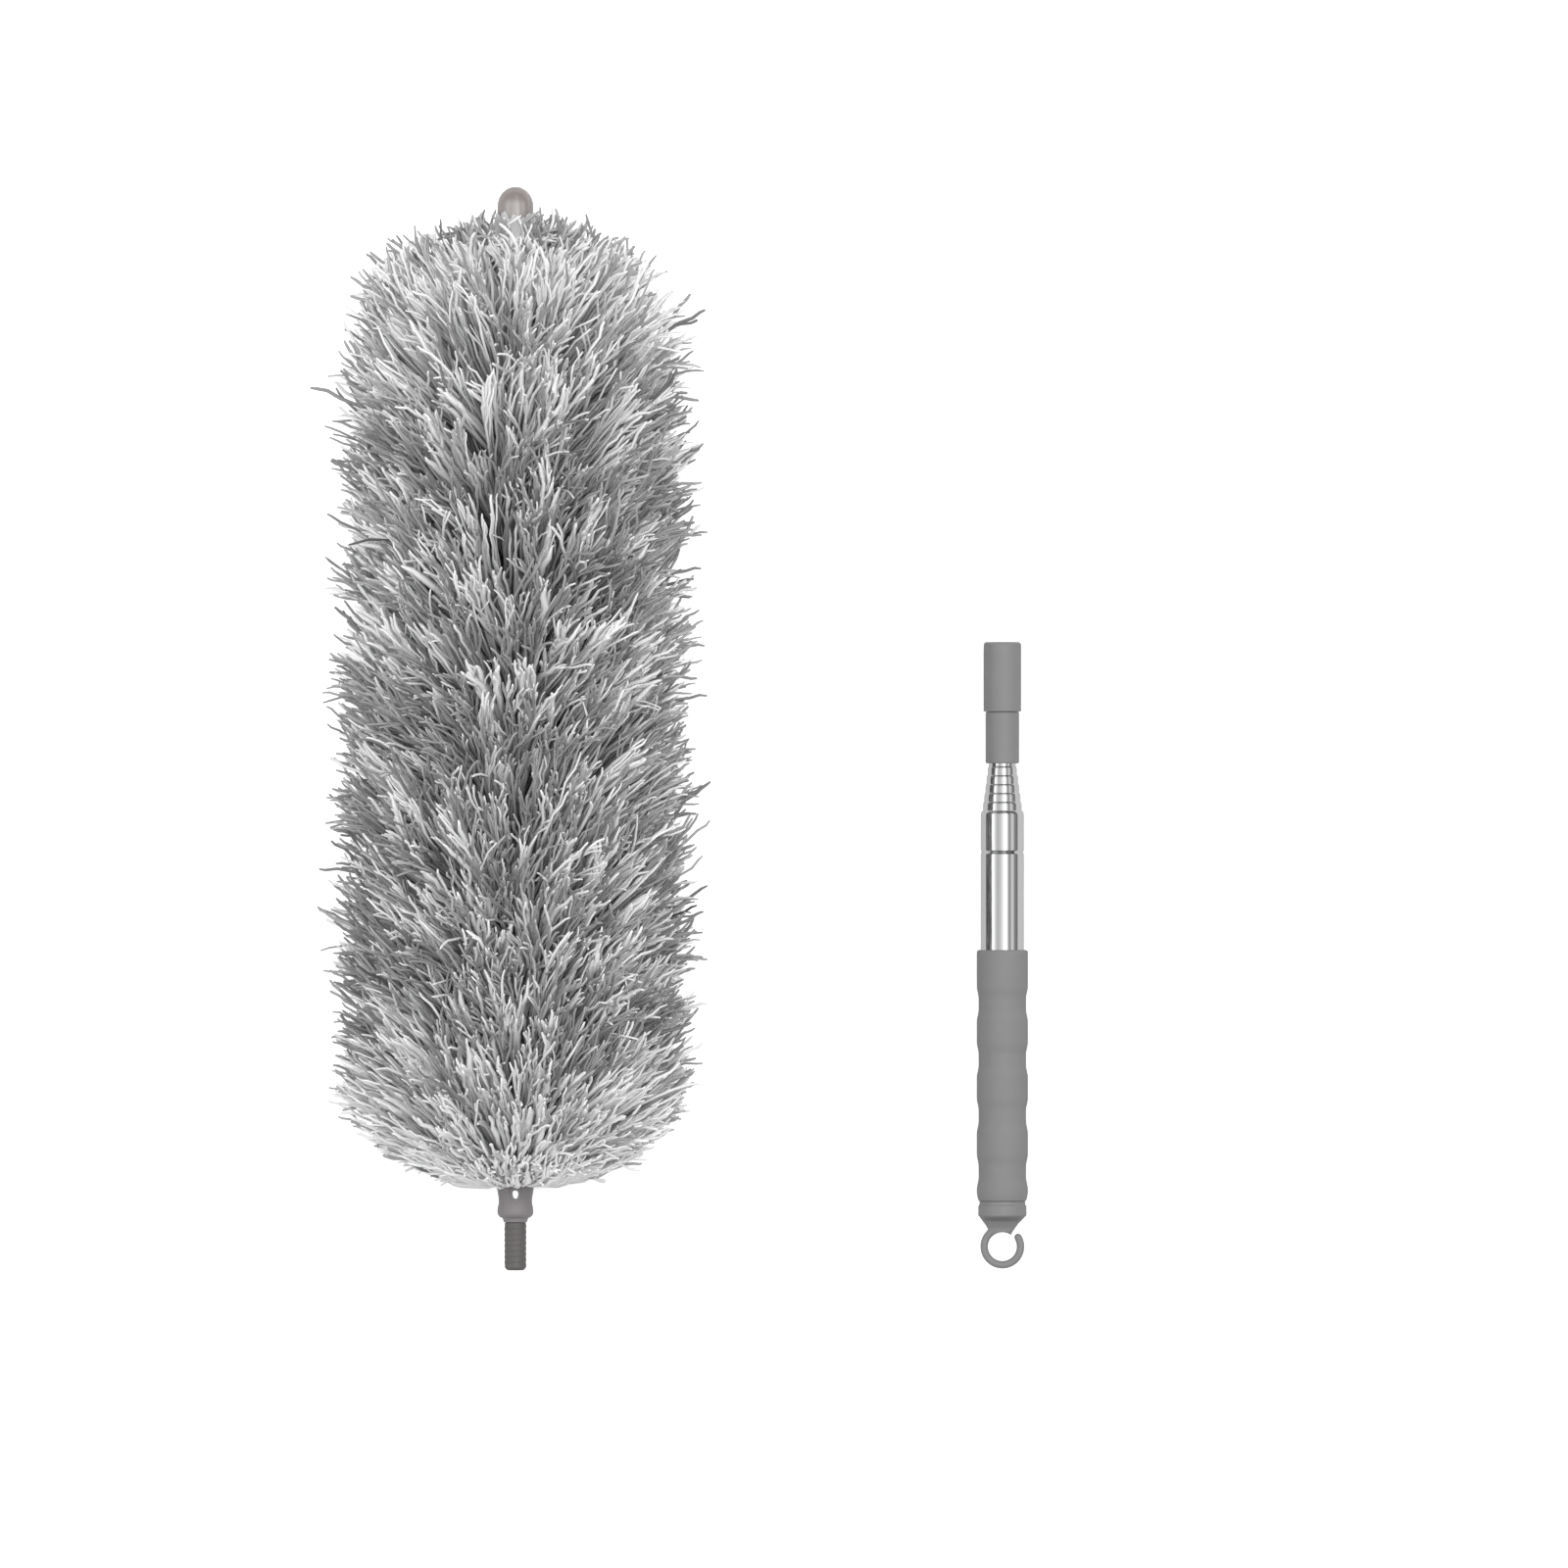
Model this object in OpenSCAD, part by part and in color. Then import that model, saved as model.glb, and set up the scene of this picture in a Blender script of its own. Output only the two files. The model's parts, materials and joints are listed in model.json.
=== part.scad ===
// Extendable microfibre duster, laid down in two pieces: a bendable yarn head with
// a threaded stud, and a telescopic pole with a threaded socket and a C-shaped hook.
// Both pieces lie along +Y on the plane z = 0. Lengths are in millimetres.

/* [Layout] */
// Distance between the axis of the head and the axis of the pole
pair_spacing = 219; // [120:1:300]
// How far the yarn flattens where the head lies
yarn_settle = 16; // [0:1:30]

/* [Yarn head] */
// Length of the head, from the end of the stud to the top of the cap
head_len = 486.6; // [320:0.2:700]
// Radius of the yarn
yarn_r = 80; // [50:0.5:110]
// How far the yarn hangs down over the ferrule's rim
yarn_lap = 3.7; // [0:0.1:6]
// How far the cap stands out of the yarn
cap_proud = 9; // [4:0.5:16]
// Length over which the yarn rounds off at the stud's end
round_low = 50; // [30:1:70]
// Length over which the yarn rounds off at the cap's end
round_high = 60; // [30:1:80]
// Radius of the twisted wire that carries the yarn
core_r = 2.5; // [1.5:0.1:3.5]
// Largest bend at each of the two places where the wire bends
bend_max = 45; // [10:1:60]

/* [Stud and ferrule] */
// Outer radius of the stud's thread
stud_r = 5; // [3:0.1:7]
// Length of the stud below the ferrule
stud_len = 21.6; // [12:0.2:30]
// Chamfer at the stud's end
stud_chamfer = 1.2; // [0.4:0.1:2]
// How much thinner the stud's plain end is than its thread, in radius
spigot_step = 1.5; // [0.5:0.1:2]
// Length of the stud's plain end inside the ferrule
spigot_len = 6.5; // [4:0.5:8]
// Radius of the ferrule at its lip
lip_r = 8.1; // [7:0.1:10]
// Radius of the ferrule at its waist
waist_r = 7.4; // [6:0.1:9]
// Radius of the ferrule at its rim
rim_r = 9.6; // [8:0.1:12]
// Width of the hole through the ferrule
eye_w = 2.7; // [1.5:0.1:3.5]
// Height of the hole through the ferrule
eye_h = 4.1; // [2.5:0.1:5]
// Radius of one strand of the twisted wire
strand_r = 0.8; // [0.5:0.05:1]

/* [Tip cap] */
// Outer radius of the cap
cap_r = 8.1; // [6:0.1:12]
// Length of the cap
cap_len = 24; // [16:0.5:36]
// Height of the cap's dome
cap_dome = 9; // [5:0.5:12]
// Wall of the cap
cap_wall = 1; // [0.6:0.1:2]

/* [Telescopic tubes] */
// Outer diameter of the outer tube
outer_d = 19.5; // [16:0.1:28]
// Wall of the outer tube
outer_wall = 0.5; // [0.4:0.05:0.8]
// Drop in diameter from the outer tube to the first sliding tube
first_drop = 2; // [1.6:0.1:3]
// Drop in diameter from one sliding tube to the next
section_drop = 1.1; // [1:0.05:1.6]
// Wall of each sliding tube
section_wall = 0.3; // [0.2:0.05:0.35]
// How far each sliding tube stands out of the one before it
section_show = 4; // [3:0.1:8]
// Length of each sliding tube
section_len = 170.6; // [120:0.2:260]
// Length of the rolled-in rim at the top of each tube
rim_len = 1.2; // [0.8:0.1:2]
// Length of the friction sleeve at the foot of each sliding tube
sleeve_len = 12; // [6:0.5:20]
// Length of outer tube that shows between the grip and the collar
tube_show = 43.6; // [10:0.2:80]
// Length of the collar at the top of the outer tube
collar_len = 18.3; // [10:0.1:30]
// How far the collar reaches down into the outer tube
collar_spigot = 6; // [3:0.5:12]

/* [Adapter] */
// Wall of the neck round the last tube
neck_wall = 1.5; // [1:0.05:3]
// Length of the neck
neck_len = 23.3; // [16:0.1:36]
// How deep the last tube sits in the neck
neck_seat = 16; // [8:0.5:20]
// Wall of the socket round its threaded bore
socket_wall = 3.4; // [2:0.1:5]
// Length of the socket
socket_len = 31.4; // [20:0.2:45]
// Depth of the socket's threaded bore
socket_depth = 24; // [12:0.5:30]
// Length of the spigot that joins the neck to the socket
joint_len = 5; // [3:0.5:8]

/* [Grip and hook] */
// Largest wall of the grip round the outer tube
grip_wall = 1.75; // [1.5:0.05:4]
// Length of the grip
grip_len = 113.3; // [80:0.1:160]
// Depth of each finger waist
finger_depth = 0.85; // [0:0.05:1.2]
// Distance from one finger waist to the next
finger_pitch = 25.2; // [18:0.1:32]
// Number of finger waists
finger_count = 4; // [1:1:5]
// Wall of the ring at the end of the pole
end_ring_wall = 1.1; // [0.8:0.05:3]
// Length of the ring at the end of the pole
end_ring_len = 5.3; // [4:0.1:9]
// Length of the taper between the end ring and the hook
taper_len = 6.05; // [3:0.05:10]
// Outer radius of the hook's loop
hook_r = 9.95; // [7:0.05:14]
// Radius of the hook's rod
hook_rod_r = 1.75; // [1.2:0.05:2.5]
// Angle at which the hook's open end stops
hook_end_deg = 30; // [0:1:40]

/* [Clearances] */
// Gap around yarn solids
yarn_gap = 0.3; // [0.2:0.05:0.6]
// Radial gap between parts that slide
slide_gap = 0.05; // [0.03:0.01:0.08]
// Radial gap between parts that are glued or pressed together
seat_gap = 0.05; // [0.02:0.01:0.1]
// Radial gap between the stud's thread and the socket's bore
thread_gap = 0.1; // [0.05:0.05:0.3]

/* [Hidden] */
section_count = 6;
$fn = 96;
cut = 0.01;
ARC_STEPS = 12;
FINGER_STEPS = 14;

plastic = [0.56, 0.56, 0.56];
yarn_grey = [0.72, 0.72, 0.72];
steel = [0.8, 0.8, 0.82];
nylon = [0.3, 0.3, 0.3];

// Radii of what closes round another part
section_d = outer_d - first_drop;
grip_r = outer_d / 2 + seat_gap + grip_wall;
end_ring_r = outer_d / 2 + seat_gap + end_ring_wall;
neck_r = tube_r(section_count) + seat_gap + neck_wall;
socket_r = stud_r + thread_gap + socket_wall;
joint_r = neck_r - neck_wall - 0.1;
spigot_r = stud_r - spigot_step;
spigot_bore = spigot_r + seat_gap;

// Footprint: the head's yarn on one side, the pole's grip on the other
total_w = yarn_r + pair_spacing + grip_r;
head_x = yarn_r - total_w / 2;
pole_x = total_w / 2 - grip_r;
foot_y = -head_len / 2;
pole_axis_z = grip_r;
head_axis_z = yarn_r - yarn_settle;

// Heights along the head, counted from the end of the stud
ferrule_from = stud_len;
lip_up = 5.4;
waist_up = 4;
rim_up = 10.2;
eye_up = 2.9;
lip_at = ferrule_from + lip_up;
waist_at = lip_at + waist_up;
rim_at = waist_at + rim_up;
yarn_from = rim_at - yarn_lap;
ferrule_cup = 5;
rim_wall = 0.9;
neck_flare = 0.3;
lip_round = 1.5;
eye_at = waist_at + eye_up;
eye_half = (eye_h - eye_w) / 2;
eye_ring_r = eye_w / 2 + strand_r;
eye_top = eye_at + eye_half + eye_ring_r;
ferrule_bore_r = eye_ring_r + strand_r + yarn_gap;
recess_depth = 0.9;
recess_rim = 1.5;
cap_from = head_len - cap_len;
cap_boss_r = core_r + 1.3;
boss_below = 6;
boss_above = 3;
cap_boss_len = cap_len - cap_dome;
yarn_to = head_len - cap_proud;
bend_low = yarn_from + (yarn_to - yarn_from) / 3;
bend_high = yarn_from + (yarn_to - yarn_from) * 2 / 3;
bend_clear = 0.1;
wire_half_gap = core_r * tan(bend_max / 2) + bend_clear;
wire_top = cap_from + cap_boss_len - boss_above;

// Heights along the pole, counted from the outside of the hook
hook_ring_r = hook_r - hook_rod_r;
web_lap = 0.7;
taper_from = 2 * hook_r - hook_rod_r - web_lap;
ring_from = taper_from + taper_len;
ring_to = ring_from + end_ring_len;
groove_len = 1.5;
grip_from = ring_to + groove_len;
grip_to = grip_from + grip_len;
ring_floor = 2.5;
tube_foot = ring_from + ring_floor;
collar_seam = 0.9;
tube_top = grip_to + tube_show;
collar_from = tube_top + collar_seam;
collar_to = collar_from + collar_len;
outer_bore_r = outer_d / 2 - outer_wall;
plug_r = outer_bore_r - seat_gap;
plug_len = 8;
plug_to = grip_from + plug_len;
neck_gap = 1.3;
section_foot = collar_to + section_show - section_len;
neck_from = collar_to + (section_count - 1) * section_show + neck_gap;
neck_to = neck_from + neck_len;
socket_to = neck_to + socket_len;

// Finger waists and the thumb dimples between them, over the grip's foot
first_finger = 13.4;
finger_flat = 3;
finger_slope = 4.5;
dimple_r = 6;
dimple_depth = 0.4;
dimple_share = 0.63;

// Outer radius of sliding tube i, and the radius of the bore that it slides in
function tube_r(i) = (section_d - section_drop * (i - 1)) / 2;
function bore_r(i) = i == 1 ? outer_bore_r : tube_r(i - 1) - section_wall;
function tube_from(i) = section_foot + section_show * (i - 1);
function tube_to(i) = i == section_count ? neck_from + neck_seat : tube_from(i) + section_len;

// Points of a quarter ellipse round (0, along), from angle a to angle b
function arc_points(along, half_r, half_len, a, b) = [for (k = [0:ARC_STEPS])
    let (t = a + (b - a) * k / ARC_STEPS) [half_r * cos(t), along + half_len * sin(t)]];

// Stands a shape that is modelled along +Z along the head's axis
module on_head() {
    translate([head_x, foot_y, head_axis_z]) rotate([-90, 0, 0]) children();
}

// Stands a shape that is modelled along +Z along the pole's axis
module on_pole() {
    translate([pole_x, foot_y, pole_axis_z]) rotate([-90, 0, 0]) children();
}

module post(r, from, to) {
    translate([0, 0, from]) cylinder(h = to - from, r = r);
}

module pipe(r, bore, from, to) {
    difference() {
        post(r, from, to);
        post(bore, from - cut, to + cut);
    }
}

// A slot with round ends through a shape, along Y
module eye_slot(grow, depth_from, depth_to) {
    r = eye_w / 2 + grow;
    for (end = [-1, 1])
        translate([0, depth_to, eye_at + end * eye_half])
            rotate([90, 0, 0]) cylinder(h = depth_to - depth_from, r = r);
    translate([-r, depth_from, eye_at - eye_half])
        cube([2 * r, depth_to - depth_from, 2 * eye_half]);
}

module threaded_stud() {
    color(plastic * 0.75) on_head() rotate_extrude()
        polygon([[0, 0], [stud_r - stud_chamfer, 0], [stud_r, stud_chamfer], [stud_r, stud_len],
            [spigot_r, stud_len], [spigot_r, stud_len + spigot_len], [0, stud_len + spigot_len]]);
}

module ferrule() {
    spigot_to = stud_len + spigot_len + 1;
    color(plastic) on_head() difference() {
        rotate_extrude()
            polygon([[spigot_bore, ferrule_from], [stud_r + neck_flare, ferrule_from],
                [lip_r - lip_round, lip_at - lip_up / 2], [lip_r - lip_round / 4, lip_at - lip_up / 9],
                [lip_r, lip_at], [lip_r - lip_round / 8, lip_at + waist_up / 3],
                [waist_r, waist_at], [waist_r + 0.3, waist_at + rim_up * 0.3],
                [rim_r - 0.7, rim_at - rim_up * 0.3], [rim_r, rim_at], [rim_r - rim_wall, rim_at],
                [ferrule_bore_r, rim_at - ferrule_cup], [ferrule_bore_r, spigot_to],
                [spigot_bore, spigot_to]]);
        eye_slot(0, -rim_r, rim_r);
        eye_slot(recess_rim, waist_r - recess_depth, rim_r);
        eye_slot(recess_rim, -rim_r, recess_depth - waist_r);
    }
}

// The loop at the foot of the twisted wire, round the hole through the ferrule
module wire_eye() {
    for (end = [-1, 1]) translate([0, 0, eye_at + end * eye_half]) rotate([90, 0, 0])
        rotate([0, 0, end == 1 ? 0 : 180])
            rotate_extrude(angle = 180) translate([eye_ring_r, 0]) circle(strand_r, $fn = 32);
    for (side = [-1, 1]) translate([side * eye_ring_r, 0, 0])
        post(strand_r, eye_at - eye_half, eye_at + eye_half);
}

module core_wire_base() {
    color(steel) on_head() {
        wire_eye();
        post(core_r, eye_top - strand_r, bend_low - wire_half_gap);
    }
}

module core_wire_mid() {
    color(steel) on_head() post(core_r, bend_low + wire_half_gap, bend_high - wire_half_gap);
}

module core_wire_tip() {
    color(steel) on_head() post(core_r, bend_high + wire_half_gap, wire_top);
}

// The yarn's whole outline, with room for the wire, the ferrule and the cap
module yarn_solid(from, to) {
    difference() {
        intersection() {
            rotate_extrude() polygon(concat(
                [[0, yarn_to], [0, yarn_from]],
                arc_points(yarn_from + round_low, yarn_r, round_low, -90, 0),
                arc_points(yarn_to - round_high, yarn_r, round_high, 0, 90)));
            post(yarn_r + 1, from, to);
            translate([-yarn_r, -yarn_r, from])
                cube([2 * yarn_r, yarn_r + head_axis_z, to - from]);
        }
        post(core_r + yarn_gap, from - 1, to + 1);
        post(rim_r + yarn_gap, yarn_from - 1, rim_at + yarn_gap);
        post(cap_r + yarn_gap, cap_from - yarn_gap, yarn_to + 1);
    }
}

module yarn_base() {
    color(yarn_grey) on_head() yarn_solid(yarn_from, bend_low - yarn_gap / 2);
}

module yarn_mid() {
    color(yarn_grey) on_head() yarn_solid(bend_low + yarn_gap / 2, bend_high - yarn_gap / 2);
}

module yarn_tip() {
    color(yarn_grey) on_head() yarn_solid(bend_high + yarn_gap / 2, yarn_to);
}

// A bullet-shaped cap whose boss holds the end of the wire
module tip_cap() {
    dome_at = head_len - cap_dome;
    bore = core_r + seat_gap;
    color(plastic * 1.05) on_head() {
        rotate_extrude() polygon(concat(
            [[cap_r - cap_wall, cap_from], [cap_r, cap_from]],
            arc_points(dome_at, cap_r, cap_dome, 0, 90),
            arc_points(dome_at, cap_r - cap_wall, cap_dome - cap_wall, 90, 0)));
        difference() {
            post(cap_boss_r, wire_top - boss_below, head_len - cap_dome / 2);
            post(bore, wire_top - boss_below - cut, wire_top + seat_gap);
        }
        pipe(cap_r - cap_wall / 2, cap_boss_r - cut, wire_top - cap_wall, wire_top);
    }
}

// The web between the end ring and the loop: wide under the ring, then as thick as
// the loop's rod, with its lower edge on the loop's inner circle
module hook_web() {
    under = ring_from - 0.2;
    root_x = hook_r * 0.64;
    tip_x = hook_r * 0.44;
    wide = end_ring_r - 1.2;
    intersection() {
        rotate([90, 0, 0]) linear_extrude(2 * end_ring_r, center = true) difference() {
            polygon([[-wide, ring_from + 1], [-wide, under],
                [-root_x, hook_r + sqrt(hook_r * hook_r - root_x * root_x)],
                [0, hook_r], [tip_x, hook_r + hook_r * 0.63], [wide, under],
                [wide, ring_from + 1]]);
            translate([0, hook_r]) circle(hook_ring_r - hook_rod_r);
        }
        rotate([90, 0, 90]) linear_extrude(2 * end_ring_r, center = true)
            polygon([[-wide, ring_from + 1], [-wide, under], [-wide / 2, ring_from - taper_len * 0.4],
                [-hook_rod_r * 1.1, taper_from], [-hook_rod_r, hook_r], [hook_rod_r, hook_r],
                [hook_rod_r * 1.1, taper_from], [wide / 2, ring_from - taper_len * 0.4],
                [wide, under], [wide, ring_from + 1]]);
        post(wide, hook_r, ring_from + 1);
    }
}

module end_cap() {
    start = 62;
    groove = 0.4;
    chamfer = 0.9;
    color(plastic) on_pole() {
        difference() {
            rotate_extrude() polygon([[0, ring_from - 0.2], [end_ring_r - chamfer, ring_from - 0.2],
                [end_ring_r, ring_from + chamfer], [end_ring_r, ring_to - groove],
                [end_ring_r - groove, ring_to], [end_ring_r - groove, grip_from],
                [plug_r, grip_from], [plug_r, plug_to - chamfer], [plug_r - chamfer, plug_to],
                [0, plug_to]]);
            pipe(outer_d / 2 + seat_gap, plug_r, tube_foot - seat_gap, grip_from + cut);
        }
        hook_web();
        translate([0, 0, hook_r]) rotate([-90, 0, 0]) {
            rotate([0, 0, -hook_end_deg])
                rotate_extrude(angle = 360 - start + hook_end_deg)
                    translate([hook_ring_r, 0]) circle(hook_rod_r, $fn = 48);
            rotate([0, 0, -hook_end_deg]) translate([hook_ring_r, 0, 0]) sphere(hook_rod_r);
        }
    }
}

// Depth of the finger waists at height h over the grip's foot: each is a short flat
// with a cosine slope on either side
function finger_dip(h) = let (
    k = max(0, min(finger_count - 1, round((h - first_finger) / finger_pitch))),
    off = abs(h - first_finger - k * finger_pitch) - finger_flat,
    t = max(0, min(1, off / finger_slope))
) finger_depth * (1 + cos(180 * t)) / 2;

module grip_sleeve() {
    bore = outer_d / 2 + seat_gap;
    count = FINGER_STEPS * (finger_count + 1);
    foot_taper = 0.9;
    foot_len = 5;
    color(plastic) on_pole() difference() {
        rotate_extrude() polygon(concat(
            [[bore, grip_to], [bore, grip_from]],
            [for (k = [0:count])
                let (h = grip_len * k / count, t = max(0, 1 - h / foot_len))
                [grip_r - foot_taper * t * t - finger_dip(h), grip_from + h]]));
        for (k = [0:finger_count - 2])
            translate([0, -grip_r - dimple_r + dimple_depth,
                grip_from + first_finger + (k + dimple_share) * finger_pitch])
                sphere(dimple_r);
    }
}

module outer_tube() {
    color(steel) on_pole() pipe(outer_d / 2, outer_bore_r, tube_foot, tube_top);
}

// The collar closes on the first sliding tube and stops its friction sleeve
module outer_collar() {
    bore = tube_r(1) + slide_gap;
    color(steel) on_pole() rotate_extrude() polygon([[bore, tube_top - collar_spigot],
        [plug_r, tube_top - collar_spigot], [plug_r, collar_from], [outer_d / 2, collar_from],
        [outer_d / 2, collar_to - 1.6], [outer_d / 2 - 0.7, collar_to], [bore, collar_to]]);
}

// A sliding tube, rolled in at its top to close on the next one
module section_tube(i) {
    r = tube_r(i);
    wall_r = r - section_wall;
    from = tube_from(i);
    to = tube_to(i);
    lip = i == section_count ? wall_r : tube_r(i + 1) + slide_gap;
    color(steel) on_pole() rotate_extrude() polygon([[wall_r, from], [r, from],
        [r, to - rim_len], [r - 0.15, to - 0.3], [(r + lip) / 2, to], [lip, to],
        [lip, to - rim_len], [wall_r, to - rim_len]]);
}

module friction_sleeve(i) {
    color(nylon) on_pole() pipe(bore_r(i) - slide_gap, tube_r(i) + slide_gap,
        tube_from(i) + 1, tube_from(i) + 1 + sleeve_len);
}

module section_tube_1() { section_tube(1); }
module section_tube_2() { section_tube(2); }
module section_tube_3() { section_tube(3); }
module section_tube_4() { section_tube(4); }
module section_tube_5() { section_tube(5); }
module section_tube_6() { section_tube(6); }
module friction_sleeve_1() { friction_sleeve(1); }
module friction_sleeve_2() { friction_sleeve(2); }
module friction_sleeve_3() { friction_sleeve(3); }
module friction_sleeve_4() { friction_sleeve(4); }
module friction_sleeve_5() { friction_sleeve(5); }
module friction_sleeve_6() { friction_sleeve(6); }

// The neck is glued over the last tube and carries the socket on a spigot
module adapter_neck() {
    tube = tube_r(section_count) + seat_gap;
    color(plastic) on_pole() difference() {
        rotate_extrude() polygon([[0, neck_from], [neck_r - 0.5, neck_from],
            [neck_r, neck_from + 0.5], [neck_r, neck_to], [joint_r, neck_to],
            [joint_r, neck_to + joint_len], [0, neck_to + joint_len]]);
        post(tube, neck_from - 1, neck_from + neck_seat + seat_gap);
    }
}

module threaded_socket() {
    joint_bore = joint_r + seat_gap;
    bore = stud_r + thread_gap;
    color(plastic) on_pole() difference() {
        rotate_extrude() polygon([[0, neck_to + seat_gap], [socket_r - 0.4, neck_to + seat_gap],
            [socket_r, neck_to + 0.5], [socket_r, socket_to - 0.8],
            [socket_r - 0.8, socket_to], [0, socket_to]]);
        post(joint_bore, neck_to - 1, neck_to + joint_len + seat_gap);
        post(bore, socket_to - socket_depth, socket_to + 1);
    }
}

threaded_stud();
ferrule();
core_wire_base();
yarn_base();
core_wire_mid();
yarn_mid();
core_wire_tip();
yarn_tip();
tip_cap();
end_cap();
grip_sleeve();
outer_tube();
outer_collar();
section_tube_1();
friction_sleeve_1();
section_tube_2();
friction_sleeve_2();
section_tube_3();
friction_sleeve_3();
section_tube_4();
friction_sleeve_4();
section_tube_5();
friction_sleeve_5();
section_tube_6();
friction_sleeve_6();
adapter_neck();
threaded_socket();
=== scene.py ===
"""Extendable microfibre duster: the looks of the head, the pole and the stage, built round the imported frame."""
import json
import math

import bpy
import numpy as np
from bpy.props import FloatProperty, FloatVectorProperty, IntProperty, PointerProperty
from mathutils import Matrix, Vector


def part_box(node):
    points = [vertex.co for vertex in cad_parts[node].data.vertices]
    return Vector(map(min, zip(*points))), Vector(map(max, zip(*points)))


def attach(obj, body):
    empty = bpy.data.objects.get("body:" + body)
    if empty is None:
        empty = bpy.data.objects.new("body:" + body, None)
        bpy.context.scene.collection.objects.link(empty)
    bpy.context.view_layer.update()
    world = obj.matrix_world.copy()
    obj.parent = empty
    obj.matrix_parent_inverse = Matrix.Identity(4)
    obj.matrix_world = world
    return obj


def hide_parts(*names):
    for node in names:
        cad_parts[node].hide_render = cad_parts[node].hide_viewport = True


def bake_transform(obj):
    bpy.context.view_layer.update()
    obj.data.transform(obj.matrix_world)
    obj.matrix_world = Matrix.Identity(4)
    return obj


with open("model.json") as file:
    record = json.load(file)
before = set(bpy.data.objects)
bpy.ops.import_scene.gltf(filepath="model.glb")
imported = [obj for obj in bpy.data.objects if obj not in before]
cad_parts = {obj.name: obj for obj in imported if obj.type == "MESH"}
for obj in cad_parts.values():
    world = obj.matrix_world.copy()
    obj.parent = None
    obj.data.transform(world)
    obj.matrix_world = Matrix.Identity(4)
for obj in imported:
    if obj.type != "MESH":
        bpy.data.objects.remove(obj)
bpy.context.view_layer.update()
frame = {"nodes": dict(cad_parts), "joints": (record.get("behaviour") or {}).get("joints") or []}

bl_info = {
    "name": "Microfibre duster",
    "version": (1, 0, 0),
    "blender": (4, 5, 0),
    "location": "View3D > Sidebar > Duster",
    "description": "Builds a bendable microfibre duster head and its telescopic pole",
    "category": "Add Mesh",
}

MM = 0.001
TURN = 2 * math.pi


def middle(node):
    """The centre of a frame node's box."""
    low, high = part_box(node)
    return (low + high) / 2


def half_width(node):
    """Half of a frame node's size along X, which is its radius where it is round."""
    low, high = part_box(node)
    return (high.x - low.x) / 2


def joint_spot(name):
    """Where a hinge of the frame turns."""
    joint = next(j for j in frame["joints"] if j["name"] == name)
    return Vector(joint["pos_m"])


HEAD_AXIS = Vector((middle("threaded_stud").x, 0, middle("threaded_stud").z))
POLE_AXIS = Vector((middle("outer_tube").x, 0, middle("outer_tube").z))
HEAD_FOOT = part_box("threaded_stud")[0].y
HEAD_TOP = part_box("tip_cap")[1].y
YARN_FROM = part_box("yarn_base")[0].y
YARN_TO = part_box("yarn_tip")[1].y
YARN_RADIUS = half_width("yarn_mid")
BEND_LOW = joint_spot("head_bend_lower")
BEND_HIGH = joint_spot("head_bend_upper")
SECTIONS = sorted(n for n in frame["nodes"] if n.startswith("section_tube_"))


# ---------------------------------------------------------------- settings

def length(name, description, default, low=0.0, high=1.0):
    """A length that the sidebar shows with its unit."""
    return FloatProperty(name=name, description=description, default=default, min=low, max=high,
                         precision=5, subtype="DISTANCE", unit="LENGTH")


def angle(name, description, degrees):
    """An angle that the sidebar shows in degrees."""
    return FloatProperty(name=name, description=description, default=math.radians(degrees),
                         subtype="ANGLE", unit="ROTATION")


def share(name, description, default):
    """A number from 0 to 1."""
    return FloatProperty(name=name, description=description, default=default, min=0, max=1,
                         subtype="FACTOR")


def colour(name, description, red, green, blue):
    """A colour, linear."""
    return FloatVectorProperty(name=name, description=description, size=3, min=0, max=1,
                               subtype="COLOR", default=(red, green, blue))


class DusterYarn(bpy.types.PropertyGroup):
    """Sizes and colours of the yarn."""
    strands: IntProperty(name="Strands", description="Number of strands of yarn", default=12900,
                         min=200, max=40000)
    tufts: IntProperty(name="Tufts", description="Number of flat, pale tufts between the strands",
                       default=6300, min=0, max=20000)
    tuft_width: length("Tuft width", "Width of a flat tuft", 0.0027)
    lock_strands: IntProperty(name="Strands in a lock", description="Strands that lie together",
                              default=12, min=1, max=60)
    strand_radius: length("Strand radius", "Radius of one strand of yarn", 0.00062)
    outline: length("Outline", "Distance from the wire to the ends of most strands", 0.0788)
    fan: share("Foot share", "Share of the strands that fan out of the ferrule's mouth", 0.13)
    lean_foot: angle("Lean at the foot", "Rise of the lowest strands towards the cap", 8.5)
    lean_middle: angle("Lean in the middle", "Rise of the strands towards the cap", 38)
    lean_top: angle("Lean at the top", "Rise of the last strands towards the cap", 80)
    crinkle: length("Crinkle", "Height of the waves in a strand", 0.00055)
    sag: length("Sag", "How far a strand's end sinks under its own weight", 0.003)
    pale: colour("Pale yarn", "Colour of the pale strands", 0.90, 0.90, 0.90)
    # Dark yarn is also the colour that the painted shade deep in the yarn mixes towards.
    dark: colour("Dark yarn", "Colour deep in the yarn and of the darkest strands", 0.07, 0.07, 0.07)


class DusterHead(bpy.types.PropertyGroup):
    """Sizes and colours of the stud, ferrule, wire and cap."""
    thread_pitch: length("Thread pitch", "Rise of the stud's thread in one turn", 0.0025)
    thread_depth: length("Thread depth", "Depth of the stud's thread", 0.0002)
    twist_pitch: length("Twist pitch", "Length of one turn of the twisted wire", 0.012)
    stud: colour("Stud", "Colour of the stud's plastic", 0.106, 0.098, 0.098)
    ferrule: colour("Ferrule", "Colour of the ferrule's plastic", 0.222, 0.208, 0.213)
    cap: colour("Cap", "Colour of the translucent cap", 0.60, 0.555, 0.535)


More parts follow.
